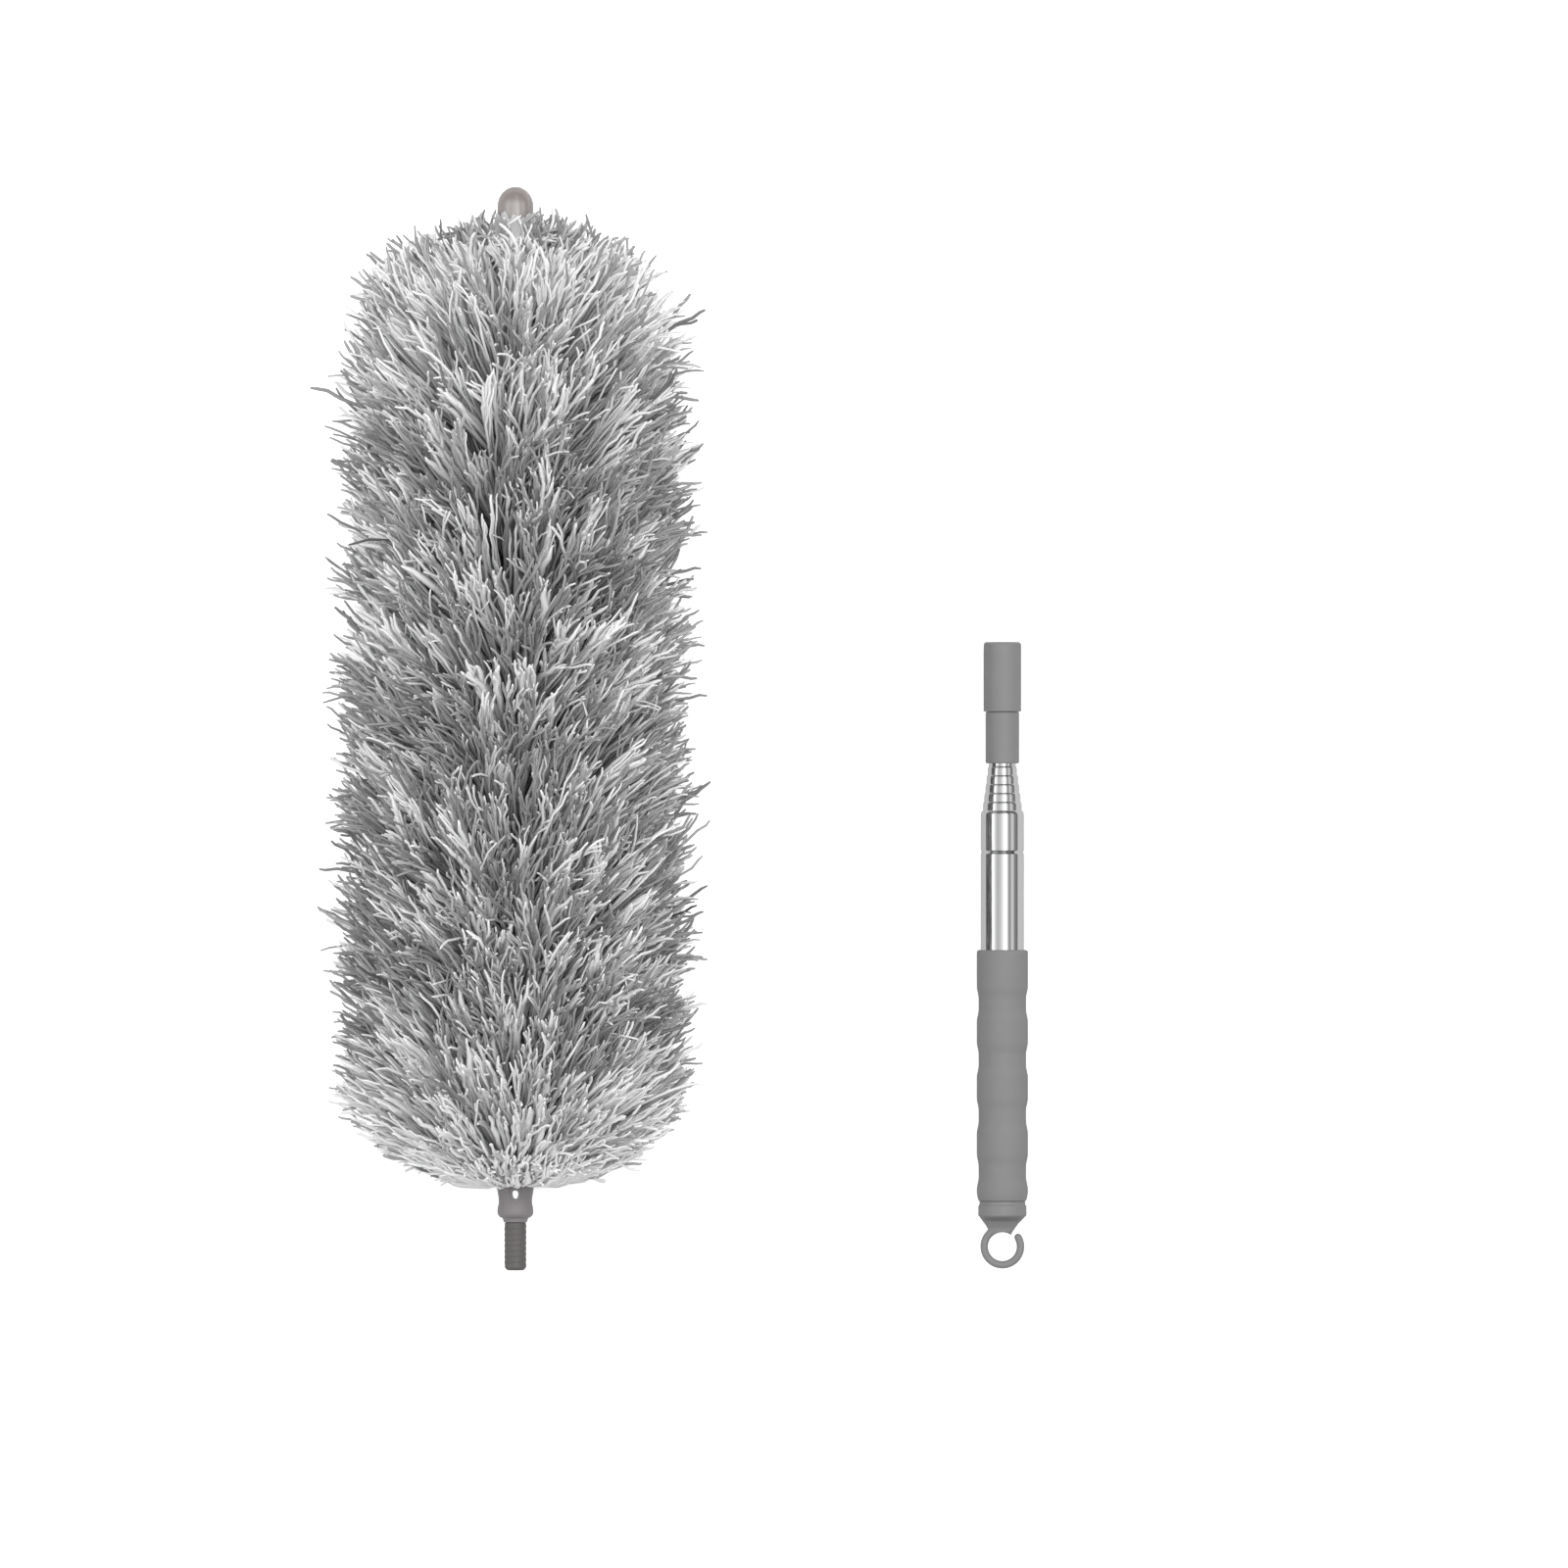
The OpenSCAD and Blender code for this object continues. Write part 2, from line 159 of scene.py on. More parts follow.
class DusterPole(bpy.types.PropertyGroup):
    """Sizes and colours of the pole."""
    grip_dip: length("Finger waist", "Depth of each finger waist", 0.00085)
    dimple: length("Dimple", "Depth of the thumb dimples", 0.0003)
    plastic: colour("Plastic", "Colour of the adapter and the end cap", 0.205, 0.205, 0.205)
    grip: colour("Grip", "Colour of the grip", 0.206, 0.206, 0.206)
    steel: colour("Steel", "Colour of the polished tubes", 0.78, 0.78, 0.79)


class DusterStage(bpy.types.PropertyGroup):
    """The stage, its lamps and the camera."""
    picture: length("Picture width", "Width of the view at the height of the head's axis", 0.704)
    camera_height: length("Camera height", "Height of the camera over the floor", 14.0, high=20)
    right: length("View right", "Distance from the head's axis to the middle of the view", 0.1206)
    up: length("View up", "Distance from the stud's end to the middle of the view", 0.2184)
    floor: colour("Floor", "Colour of the floor", 0.82, 0.82, 0.82)


# ---------------------------------------------------------------- modelling helpers

def only(*objects):
    """Selects these objects alone, the last of them active."""
    bpy.ops.object.select_all(action="DESELECT")
    for obj in objects:
        obj.select_set(True)
        bpy.context.view_layer.objects.active = obj


def edit(obj):
    """Opens a piece in edit mode with nothing selected."""
    only(obj)
    bpy.ops.object.mode_set(mode="EDIT")
    bpy.ops.mesh.select_all(action="DESELECT")


def close_edit():
    """Leaves edit mode."""
    bpy.ops.object.mode_set(mode="OBJECT")


def settle(obj, smooth_deg=35):
    """Puts a piece's place in its mesh, turns its faces outwards and smooths its gentle edges."""
    only(obj)
    bpy.ops.object.transform_apply(location=True, rotation=True, scale=True)
    bpy.ops.object.mode_set(mode="EDIT")
    bpy.ops.mesh.select_all(action="SELECT")
    bpy.ops.mesh.remove_doubles(threshold=0.002 * MM)
    bpy.ops.mesh.normals_make_consistent(inside=False)
    close_edit()
    bpy.ops.object.shade_smooth_by_angle(angle=math.radians(smooth_deg))
    return obj


def apply_modifier(obj, kind, **values):
    """Adds a modifier with these values and applies it."""
    only(obj)
    modifier = obj.modifiers.new(kind.title(), kind)
    for key, value in values.items():
        setattr(modifier, key, value)
    bpy.ops.object.modifier_apply(modifier=modifier.name)
    return obj


def cut_with(obj, tool, operation="DIFFERENCE"):
    """Cuts a piece with a tool, or joins the two, and takes the tool away."""
    apply_modifier(obj, "BOOLEAN", operation=operation, object=tool, solver="EXACT")
    bpy.data.objects.remove(tool)
    return obj


def join(first, *others):
    """Makes one piece of several."""
    only(*others, first)
    bpy.ops.object.join()
    return first


def turned(name, axis, profile, sides=96, ends="fill"):
    """A turned piece along +Y: one ring of edges, extruded and resized from point to point.
    A point is (radius, y), or (radius along X, y, radius along Z, shift along X).
    ends is fill for a solid piece, bridge for a closed wall and open for neither."""
    points = hold_corners([Vector((p[0], p[1], p[2] if len(p) > 2 else p[0], p[3] if len(p) > 3 else 0.0))
                           for p in profile])
    rx, y, rz, shift = points[0]
    bpy.ops.object.select_all(action="DESELECT")
    bpy.ops.mesh.primitive_circle_add(vertices=sides, radius=1, location=(axis.x + shift, y, axis.z),
                                      rotation=(math.pi / 2, 0, 0))
    obj = bpy.context.object
    obj.name = name
    obj.scale = (rx, rz, 1)
    bpy.ops.object.transform_apply(location=True, rotation=True, scale=True)
    bpy.ops.object.mode_set(mode="EDIT")
    bpy.ops.mesh.select_all(action="SELECT")
    for (ax, ay, az, a_shift), (bx, by, bz, b_shift) in zip(points, points[1:]):
        bpy.ops.mesh.extrude_region_move(
            TRANSFORM_OT_translate={"value": (b_shift - a_shift, by - ay, 0)})
        bpy.ops.transform.resize(value=(bx / ax, 1, bz / az),
                                 center_override=(axis.x + b_shift, by, axis.z))
    if ends == "fill":
        bpy.ops.mesh.select_all(action="SELECT")
        bpy.ops.mesh.fill_holes(sides=0)
    if ends == "bridge":
        bpy.ops.mesh.select_all(action="DESELECT")
        bpy.ops.mesh.select_non_manifold()
        bpy.ops.mesh.bridge_edge_loops()
    close_edit()
    return obj


def hold_corners(points, near=0.2 * MM):
    """Adds a ring close to both ends of each long step, so that a corner's shading stays at the corner."""
    held = [points[0]]
    for start, end in zip(points, points[1:]):
        run = (end - start).length
        if run > 6 * near:
            held += [start.lerp(end, near / run), start.lerp(end, 1 - near / run)]
        held.append(end)
    return held


def rod(start, end, radius, sides=48):
    """A plain round tool between two points."""
    start, end = Vector(start), Vector(end)
    bpy.ops.object.select_all(action="DESELECT")
    bpy.ops.mesh.primitive_cylinder_add(vertices=sides, radius=radius, depth=(end - start).length,
                                        location=(start + end) / 2,
                                        rotation=(end - start).to_track_quat("Z", "Y").to_euler())
    bpy.ops.object.transform_apply(location=True, rotation=True, scale=True)
    return bpy.context.object


def helix(name, axis, y_from, turns, pitch, section, steps=24):
    """A closed outline, given as points (radius, y), swept along a screw line round the axis."""
    bpy.ops.object.select_all(action="DESELECT")
    bpy.ops.mesh.primitive_circle_add(vertices=len(section), radius=1)
    obj = bpy.context.object
    obj.name = name
    for vertex, (radius, y) in zip(obj.data.vertices, section):
        vertex.co = (radius, y, 0)
    apply_modifier(obj, "SCREW", axis="Y", angle=TURN * turns, screw_offset=pitch * turns,
                   steps=int(steps * turns), render_steps=int(steps * turns), use_merge_vertices=False)
    bpy.ops.object.mode_set(mode="EDIT")
    bpy.ops.mesh.select_all(action="SELECT")
    bpy.ops.mesh.fill_holes(sides=0)
    close_edit()
    obj.location = (axis.x, y_from, axis.z)
    only(obj)
    bpy.ops.object.transform_apply(location=True, rotation=True, scale=True)
    return obj


def round_over(points, radius, steps=4):
    """A profile whose inner corners are rounded to a radius, as far as each side has room."""
    out = [points[0]]
    for before, here, after in zip(points, points[1:], points[2:]):
        here_v = Vector(here)
        back, on = Vector(before) - here_v, Vector(after) - here_v
        room = min(radius, back.length * 0.45, on.length * 0.45)
        start, end = here_v + back.normalized() * room, here_v + on.normalized() * room
        for k in range(steps + 1):
            t = k / steps
            out.append(tuple(start * (1 - t) ** 2 + here_v * 2 * t * (1 - t) + end * t ** 2))
    out.append(points[-1])
    return out


def dress(obj, material):
    """Gives a piece one material."""
    obj.data.materials.clear()
    obj.data.materials.append(material)
    return obj


# ---------------------------------------------------------------- materials

def new_material(name, base, roughness, **sockets):
    """A material with one Principled shader, whose plain values are set on its own sockets."""
    material = bpy.data.materials.new(name)
    material.use_nodes = True
    shader = material.node_tree.nodes["Principled BSDF"]
    shader.inputs["Base Color"].default_value = (*base, 1)
    shader.inputs["Roughness"].default_value = roughness
    for key, value in sockets.items():
        shader.inputs[key.replace("_", " ")].default_value = value
    return material, material.node_tree, shader


def new_group(name, inputs, outputs):
    """An empty shader node group with named sockets: (name, socket type, default)."""
    tree = bpy.data.node_groups.new(name, "ShaderNodeTree")
    for label, kind, default in inputs:
        socket = tree.interface.new_socket(label, in_out="INPUT", socket_type=kind)
        socket.default_value = default
    for label, kind in outputs:
        tree.interface.new_socket(label, in_out="OUTPUT", socket_type=kind)
    return tree, tree.nodes.new("NodeGroupInput"), tree.nodes.new("NodeGroupOutput")


def add_noise(tree, vector, scale, detail=4.0, stretch=None):
    """A noise texture on a vector, which may be stretched first; returns its value's socket."""
    if stretch:
        mapping = tree.nodes.new("ShaderNodeMapping")
        mapping.inputs["Scale"].default_value = stretch
        tree.links.new(vector, mapping.inputs["Vector"])
        vector = mapping.outputs["Vector"]
    noise = tree.nodes.new("ShaderNodeTexNoise")
    noise.inputs["Detail"].default_value = detail
    tree.links.new(vector, noise.inputs["Vector"])
    if isinstance(scale, (int, float)):
        noise.inputs["Scale"].default_value = scale
    else:
        tree.links.new(scale, noise.inputs["Scale"])
    return noise.outputs["Fac"]


def add_range(tree, value, low, high):
    """Maps 0 to 1 on low to high, which are numbers or sockets."""
    node = tree.nodes.new("ShaderNodeMapRange")
    tree.links.new(value, node.inputs["Value"])
    for name, end in (("To Min", low), ("To Max", high)):
        if isinstance(end, (int, float)):
            node.inputs[name].default_value = end
        else:
            tree.links.new(end, node.inputs[name])
    return node.outputs["Result"]


def surface_wear_group():
    """Mottled colour, uneven gloss and fine grain, shared by plastic and steel."""
    name = "Surface wear"
    if name in bpy.data.node_groups:
        return bpy.data.node_groups[name]
    tree, inp, out = new_group(
        name,
        [("Base Color", "NodeSocketColor", (0.5, 0.5, 0.5, 1)), ("Mottle", "NodeSocketFloat", 0.06),
         ("Grain Scale", "NodeSocketFloat", 2500.0), ("Grain Depth", "NodeSocketFloat", 0.05),
         ("Roughness Low", "NodeSocketFloat", 0.4), ("Roughness High", "NodeSocketFloat", 0.55)],
        [("Color", "NodeSocketColor"), ("Roughness", "NodeSocketFloat"), ("Normal", "NodeSocketVector")])
    links = tree.links
    where = tree.nodes.new("ShaderNodeTexCoord").outputs["Object"]
    cloud = add_noise(tree, where, 90.0)
    subtract = tree.nodes.new("ShaderNodeMath")
    subtract.operation = "SUBTRACT"
    subtract.inputs[0].default_value = 1.0
    links.new(inp.outputs["Mottle"], subtract.inputs[1])
    amount = add_range(tree, cloud, subtract.outputs[0], 1.0)
    tint = tree.nodes.new("ShaderNodeVectorMath")
    tint.operation = "SCALE"
    links.new(inp.outputs["Base Color"], tint.inputs[0])
    links.new(amount, tint.inputs["Scale"])
    links.new(tint.outputs["Vector"], out.inputs["Color"])
    smear = add_noise(tree, where, 260.0)
    links.new(add_range(tree, smear, inp.outputs["Roughness Low"], inp.outputs["Roughness High"]),
              out.inputs["Roughness"])
    bump = tree.nodes.new("ShaderNodeBump")
    bump.inputs["Distance"].default_value = 0.2 * MM
    links.new(add_noise(tree, where, inp.outputs["Grain Scale"], 2.0), bump.inputs["Height"])
    links.new(inp.outputs["Grain Depth"], bump.inputs["Strength"])
    links.new(bump.outputs["Normal"], out.inputs["Normal"])
    return tree


def worn_material(name, base, mottle, grain_scale, grain_depth, rough_low, rough_high, **sockets):
    """A material whose colour, gloss and grain come from the shared wear group."""
    material, tree, shader = new_material(name, base, rough_low, **sockets)
    group = tree.nodes.new("ShaderNodeGroup")
    group.node_tree = surface_wear_group()
    values = {"Base Color": (*base, 1), "Mottle": mottle, "Grain Scale": grain_scale,
              "Grain Depth": grain_depth, "Roughness Low": rough_low, "Roughness High": rough_high}
    for key, value in values.items():
        group.inputs[key].default_value = value
    tree.links.new(group.outputs["Color"], shader.inputs["Base Color"])
    tree.links.new(group.outputs["Roughness"], shader.inputs["Roughness"])
    tree.links.new(group.outputs["Normal"], shader.inputs["Normal"])
    return material


def material_once(name, make):
    """The material of this name, made the first time that it is asked for."""
    return bpy.data.materials.get(name) or make(name)


def moulded_plastic(name, base, gloss=0.42):
    """Moulded plastic: faint flow marks and a fine matte grain."""
    return material_once(name, lambda n: worn_material(n, base, 0.10, 2600.0, 0.10, gloss, gloss + 0.14))


def grip_rubber(name, base):
    """Soft-touch rubber with a fine pebble grain."""
    return material_once(name, lambda n: worn_material(n, base, 0.08, 1500.0, 0.16, 0.55, 0.7))


def polished_steel(name, base):
    """Polished tube: a faint fine grain and light smears in its gloss."""
    def make(label):
        material = worn_material(label, base, 0.03, 3000.0, 0.006, 0.02, 0.06, Metallic=1.0)
        return material
    return material_once(name, make)


def sleeve_nylon():
    """Dark nylon of the friction sleeves."""
    return moulded_plastic("sleeve nylon", (0.05, 0.05, 0.05), 0.4)


def cap_plastic(base):
    """Translucent plastic, clear enough to show the boss and the wire inside, with painted shade that makes it
    darker and browner at its edges.
    """
    def make(name):
        material = worn_material(name, base, 0.3, 2000.0, 0.04, 0.14, 0.3,
                                 Transmission_Weight=0.55, IOR=1.46, Coat_Weight=1.0,
                                 Coat_Roughness=0.12, Coat_IOR=1.9)
        tree = material.node_tree
        socket = tree.nodes["Principled BSDF"].inputs["Base Color"]
        # Painted shade: the colour is multiplied towards a darker brown where the surface turns away from the
        # view.
        edge = tree.nodes.new("ShaderNodeLayerWeight")
        edge.inputs["Blend"].default_value = 0.3
        tint = tree.nodes.new("ShaderNodeMix")
        tint.data_type, tint.blend_type = "RGBA", "MULTIPLY"
        tree.links.new(edge.outputs["Facing"], tint.inputs["Factor"])
        tree.links.new(socket.links[0].from_socket, tint.inputs["A"])
        tint.inputs["B"].default_value = (0.66, 0.49, 0.47, 1)
        tree.links.new(tint.outputs["Result"], socket)
        return material
    return material_once("cap plastic", make)


def clear_film():
    """Crumpled clear film with whitish creases."""
    def make(name):
        return worn_material(name, (0.93, 0.93, 0.94), 0.3, 900.0, 0.5, 0.2, 0.45,
                             Transmission_Weight=0.15, IOR=1.3, Alpha=0.55)
    return material_once("clear film", make)


def yarn_material(settings):
    """Microfibre yarn: each strand's own tone, with painted shade darker towards the wire and painted light at
    the head's ends, and a fine twisted ply.
    """
    material, tree, shader = new_material("microfibre yarn", settings.pale, 0.92, Sheen_Weight=0.18,
                                          Sheen_Roughness=0.5, Specular_IOR_Level=0.12)
    links = tree.links
    # This attribute holds the strand's tone with the painted shade and the painted light already in it.
    tone_and_painted_light = tree.nodes.new("ShaderNodeAttribute")
    tone_and_painted_light.attribute_name = "tone_and_painted_light"
    uv = tree.nodes.new("ShaderNodeUVMap")
    uv.uv_map = "strand"
    ply = tree.nodes.new("ShaderNodeTexWave")
    ply.bands_direction = "DIAGONAL"
    ply.inputs["Scale"].default_value = 1.0
    ply.inputs["Distortion"].default_value = 2.0
    ply.inputs["Detail"].default_value = 1.0
    links.new(uv.outputs["UV"], ply.inputs["Vector"])
    fuzz = add_noise(tree, tree.nodes.new("ShaderNodeTexCoord").outputs["Object"], 1400.0, 3.0)
    streak = add_noise(tree, uv.outputs["UV"], 1.0, 3.0, stretch=(9.0, 0.22, 1.0))
    ply_tone = add_range(tree, streak, 0.72, 1.22)
    fuzz_tone = add_range(tree, fuzz, 0.86, 1.08)
    product = tree.nodes.new("ShaderNodeMath")
    product.operation = "MULTIPLY"
    links.new(ply_tone, product.inputs[0])
    links.new(fuzz_tone, product.inputs[1])
    fine = tree.nodes.new("ShaderNodeMath")
    fine.operation = "MULTIPLY"
    links.new(tone_and_painted_light.outputs["Fac"], fine.inputs[0])
    links.new(product.outputs[0], fine.inputs[1])
    mix = tree.nodes.new("ShaderNodeMix")
    mix.data_type = "RGBA"
    mix.inputs["A"].default_value = (*settings.dark, 1)
    mix.inputs["B"].default_value = (*settings.pale, 1)
    links.new(fine.outputs[0], mix.inputs["Factor"])
    links.new(mix.outputs["Result"], shader.inputs["Base Color"])
    bump = tree.nodes.new("ShaderNodeBump")
    bump.inputs["Distance"].default_value = 0.15 * MM
    bump.inputs["Strength"].default_value = 0.5
    both = tree.nodes.new("ShaderNodeMath")
    both.operation = "ADD"
    links.new(ply.outputs["Fac"], both.inputs[0])
    links.new(streak, both.inputs[1])
    links.new(both.outputs[0], bump.inputs["Height"])
    links.new(bump.outputs["Normal"], shader.inputs["Normal"])
    return material


# ---------------------------------------------------------------- the yarn

RINGS = np.array([0.0, 0.3, 0.52, 0.66, 0.77, 0.86, 0.93, 0.975, 1.0])
STRAND_TAPER = np.interp(RINGS, [0, 0.3, 0.9, 0.97, 1], [0.7, 1, 1, 0.95, 0.6])
TUFT_TAPER = np.interp(RINGS, [0, 0.3, 0.7, 0.9, 0.96, 1], [0.2, 0.45, 1, 0.95, 0.7, 0.25])
STRAND_SIDES = 4
SECTORS = 5
BLEND_REACH = 65 * MM
LONGEST = 98 * MM


def outline_radius(y, reach):
    """Radius of the yarn's outline at y: round ends on a long straight body."""
    low_round, high_round, power = 50 * MM, 52 * MM, 2.3
    below = np.clip((YARN_FROM + low_round - y) / low_round, 0, 1)
    above = np.clip((y - (YARN_TO - 9 * MM - high_round)) / high_round, 0, 1)
    return reach * np.sqrt(1 - below ** 2) * (1 - above ** power) ** (1 / power)


def reach_outline(root_y, root_r, lean, reach):
    """Length of each straight strand from its root to the outline, by halving."""
    low, high = np.zeros_like(root_y), np.full_like(root_y, 0.25)
    for _ in range(24):
        half = (low + high) / 2
        inside = root_r + half * np.cos(lean) < outline_radius(root_y + half * np.sin(lean), reach)
        low, high = np.where(inside, half, low), np.where(inside, high, half)
    return low


def strand_leans(share_up, rng, settings):
    """Rise of each lock: a fan at the foot, steady in the middle and steep under the cap."""
    in_fan = np.clip(share_up / settings.fan, 0, 1)
    top = np.clip((share_up - 0.80) / 0.20, 0, 1)
    lean = settings.lean_foot + (settings.lean_middle + math.radians(6) - settings.lean_foot) * in_fan ** 1.5
    lean = lean - math.radians(6) * np.clip((share_up - settings.fan) / 0.1, 0, 1)
    lean = lean + (settings.lean_top - settings.lean_middle) * top ** 1.2
    spread = math.radians(2) + math.radians(3.5) * (in_fan >= 1) + math.radians(6) * top
    return lean + rng.normal(0, 1, len(share_up)) * spread


def patches(y, turn, rng):
    """A smooth field from 0 to 1 over the head, for pale and dark areas of yarn."""
    total = np.zeros_like(y)
    for _ in range(7):
        wave, laps, phase = rng.uniform(24, 70) * MM, rng.integers(1, 5), rng.uniform(0, TURN)
        total += np.cos(TURN * y / wave + laps * turn + phase)
    return 1 / (1 + np.exp(-1.3 * total))


def strand_set(settings, count, in_lock, tuft, rng):
    """Strands, or tufts, as arrays: path (strand, ring, xyz), radius, flatness, roll, tone with painted light at
    the head's ends, and turn.
    """
    locks = count // in_lock
    count = locks * in_lock
    order = np.arange(locks)
    share_up = np.clip((order + rng.uniform(0, 1, locks)) / locks, 0, 1)
    round_lock = order * math.pi * (3 - math.sqrt(5)) + rng.normal(0, 0.25, locks)
    lean_lock = strand_leans(share_up, rng, settings)
    lock = np.repeat(order, in_lock)
    in_fan = np.clip(share_up / settings.fan, 0, 1)[lock]
    foot = np.where(in_fan < 1, in_fan * 0.6, 1.0)
    core_from, core_to = YARN_FROM + 8 * MM, YARN_TO - 24 * MM
    above = np.clip((share_up - settings.fan) / (1 - settings.fan), 0, 1)[lock] ** 1.08
    root_y = core_from + (core_to - core_from) * above + rng.normal(0, 2.5 * MM, count)
    root_y = np.where(in_fan < 1, YARN_FROM + (1.6 + 7 * in_fan) * MM, np.clip(root_y, core_from, core_to))
    loose = math.radians(1.6 if tuft else 3.0) * (0.5 + 0.5 * foot)
    lean = lean_lock[lock] + rng.normal(0, 1, count) * loose
    root_r = np.full(count, 2.5 * MM)
    cap_foot, cap_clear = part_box("tip_cap")[0].y, half_width("tip_cap") + 2.5 * MM
    steepest = np.arctan2(np.maximum(cap_foot - 6 * MM - root_y, 4 * MM), cap_clear - root_r)
    flattest = math.radians(7) * np.clip(1 - (root_y - core_from) / (12 * MM), 0, 1)
    lean = np.minimum(np.clip(lean, flattest, math.radians(82)), steepest)
    fan_out = (0.026 if tuft else 0.045) * (4.6 - 3.6 * foot)
    turn = np.mod(round_lock[lock] + rng.normal(0, 1, count) * fan_out, TURN)
    reach = settings.outline * (1 + rng.normal(0, 0.03, locks)[lock])
    long = np.minimum(reach_outline(root_y, root_r, lean, reach), LONGEST * rng.uniform(0.9, 1, count))
    end_y = root_y + long * np.sin(lean)
    end_r = root_r + long * np.cos(lean)
    by_cap = np.clip((end_y - cap_foot + 60 * MM) / (60 * MM), 0, 1) * np.clip(1 - end_r / (42 * MM), 0, 1)
    chance = rng.uniform(0, 1, count)
    proud = (chance > 0.87) & (not tuft)
    long = long * (1 - 0.33 * by_cap * np.where(proud, 0.15, 1))
    shade = patches(end_y, turn, np.random.default_rng(7))
    if tuft:
        long = long * (0.90 + 0.05 * shade + rng.normal(0, 0.03, locks)[lock]) * rng.uniform(0.94, 1.03, count)
    else:
        short = chance < 0.15 + 0.55 * shade
        long = long * (0.97 + 0.05 * rng.uniform(0, 1, count) - 0.15 * short)
        long = long + 8 * MM * proud * rng.uniform(0.35, 1, count) * (1 - 0.5 * (in_fan < 1))
    t = RINGS[None, :]
    run = long[:, None] * t
    radial = root_r[:, None] + run * np.cos(lean)[:, None]
    rise = root_y[:, None] + run * np.sin(lean)[:, None]
    bow = (t - t ** 2) * 4
    own = 0.4 * MM if tuft else 1.0 * MM
    lift = rng.normal(0, 3.0 * MM, locks)[lock] + rng.normal(0, own, count)
    lift = lift * (0.35 + 0.65 * foot) - 2.5 * MM * (1 - foot)
    side = (rng.normal(0, 3.2 * MM, locks)[lock] + rng.normal(0, own, count)) * (0.4 + 0.6 * foot)
    curl = np.clip((t - 0.68) / 0.32, 0, 1) ** 2
    bend = 2.0 * MM if tuft else 5.0 * MM
    curl_lift, curl_side = rng.normal(0, 1, (2, count)) * bend * (0.4 + 0.6 * foot)
    wave = settings.crinkle * np.clip(t * 1.6, 0, 1)
    phase, beat = rng.uniform(0, TURN, (2, count)), rng.uniform(9, 16, count) * MM
    ripple_a = wave * np.sin(run / beat[:, None] * TURN + phase[0][:, None])
    ripple_b = wave * np.sin(run / beat[:, None] * TURN * 0.83 + phase[1][:, None])
    across = lift[:, None] * bow + curl_lift[:, None] * curl + ripple_a
    radial = radial - across * np.sin(lean)[:, None]
    rise = rise + across * np.cos(lean)[:, None]
    sideways = side[:, None] * bow + curl_side[:, None] * curl + ripple_b
    cos_turn, sin_turn = np.cos(turn)[:, None], np.sin(turn)[:, None]
    x = radial * sin_turn + sideways * cos_turn
    z = radial * cos_turn - sideways * sin_turn - settings.sag * t ** 2
    path = np.stack([HEAD_AXIS.x + x, rise, HEAD_AXIS.z + z], axis=2)
    radius = settings.strand_radius * rng.uniform(0.8, 1.2, count) * np.where(proud, 1.15, 1)
    # Painted light: ends rises at the foot and the crown of the head, which are painted paler with fewer dark
    # strands, lighter dark strands and a raised tone; low_end also makes fewer proud strands dark at the foot.
    low_end = np.clip(1.15 - (rise[:, -1] - YARN_FROM) / (62 * MM), 0, 1)
    ends = 1.3 * low_end + 1.4 * np.clip(1 - (YARN_TO - rise[:, -1]) / (110 * MM), 0, 1)
    if tuft:
        flat = settings.tuft_width / settings.strand_radius / 2 * rng.uniform(0.6, 1.25, count)
        tone_and_painted_light = 0.94 + 0.16 * shade + rng.normal(0, 0.04, locks)[lock] + rng.normal(0, 0.03, count)
        roll = rng.uniform(0, TURN, locks)[lock] + rng.normal(0, 0.35, count)
    else:
        flat = np.ones(count)
        dark_share = np.where(short, 0.45, 0.92) - 0.25 * shade - 0.55 * ends
        dark = rng.uniform(0, 1, count) < np.where(proud, 0.85 - 0.5 * low_end, dark_share)
        tone_and_painted_light = np.where(dark, np.where(proud, 0.32, 0.36 + 0.1 * ends), 1.0) + rng.normal(0, 0.05, locks)[lock] + rng.normal(0, 0.07, count)
        roll = rng.uniform(0, TURN, count)
    keep_off_floor(path, radius)
    # The raised tone at the head's ends is painted light.
    return {"path": path, "radius": radius, "flat": flat, "roll": roll, "tone_and_painted_light": tone_and_painted_light * (1 + 0.15 * ends),
            "turn": turn}


def keep_off_floor(path, radius):
    """Lays the ends that would reach under the floor on it, and spreads them sideways."""
    under = np.clip(radius[:, None] * 1.2 + 0.1 * MM - path[:, :, 2], 0, None)
    path[:, :, 0] += np.sign(path[:, :, 0] - HEAD_AXIS.x) * under * 0.35
    path[:, :, 2] += under


def forks(strands, rng):
    """Short side branches near the tips of some strands."""
    chosen = np.flatnonzero(rng.uniform(0, 1, len(strands["path"])) < 0.2)
    spots = 0.84 + 0.13 * RINGS
    left = np.clip(np.searchsorted(RINGS, spots, side="right") - 1, 0, RINGS.size - 2)
    part = ((spots - RINGS[left]) / (RINGS[left + 1] - RINGS[left]))[None, :, None]
    parent = strands["path"][chosen]
    branch = parent[:, left] * (1 - part) + parent[:, left + 1] * part
    aside = rng.normal(0, 1, (len(chosen), 3))
    aside /= np.linalg.norm(aside, axis=1, keepdims=True)
    branch = branch + aside[:, None, :] * (3.4 * MM * RINGS[None, :, None])
    branches = {key: values[chosen] for key, values in strands.items()}
    branches["path"] = branch
    branches["radius"] = branches["radius"] * 0.8
    keep_off_floor(branch, branches["radius"])
    return branches


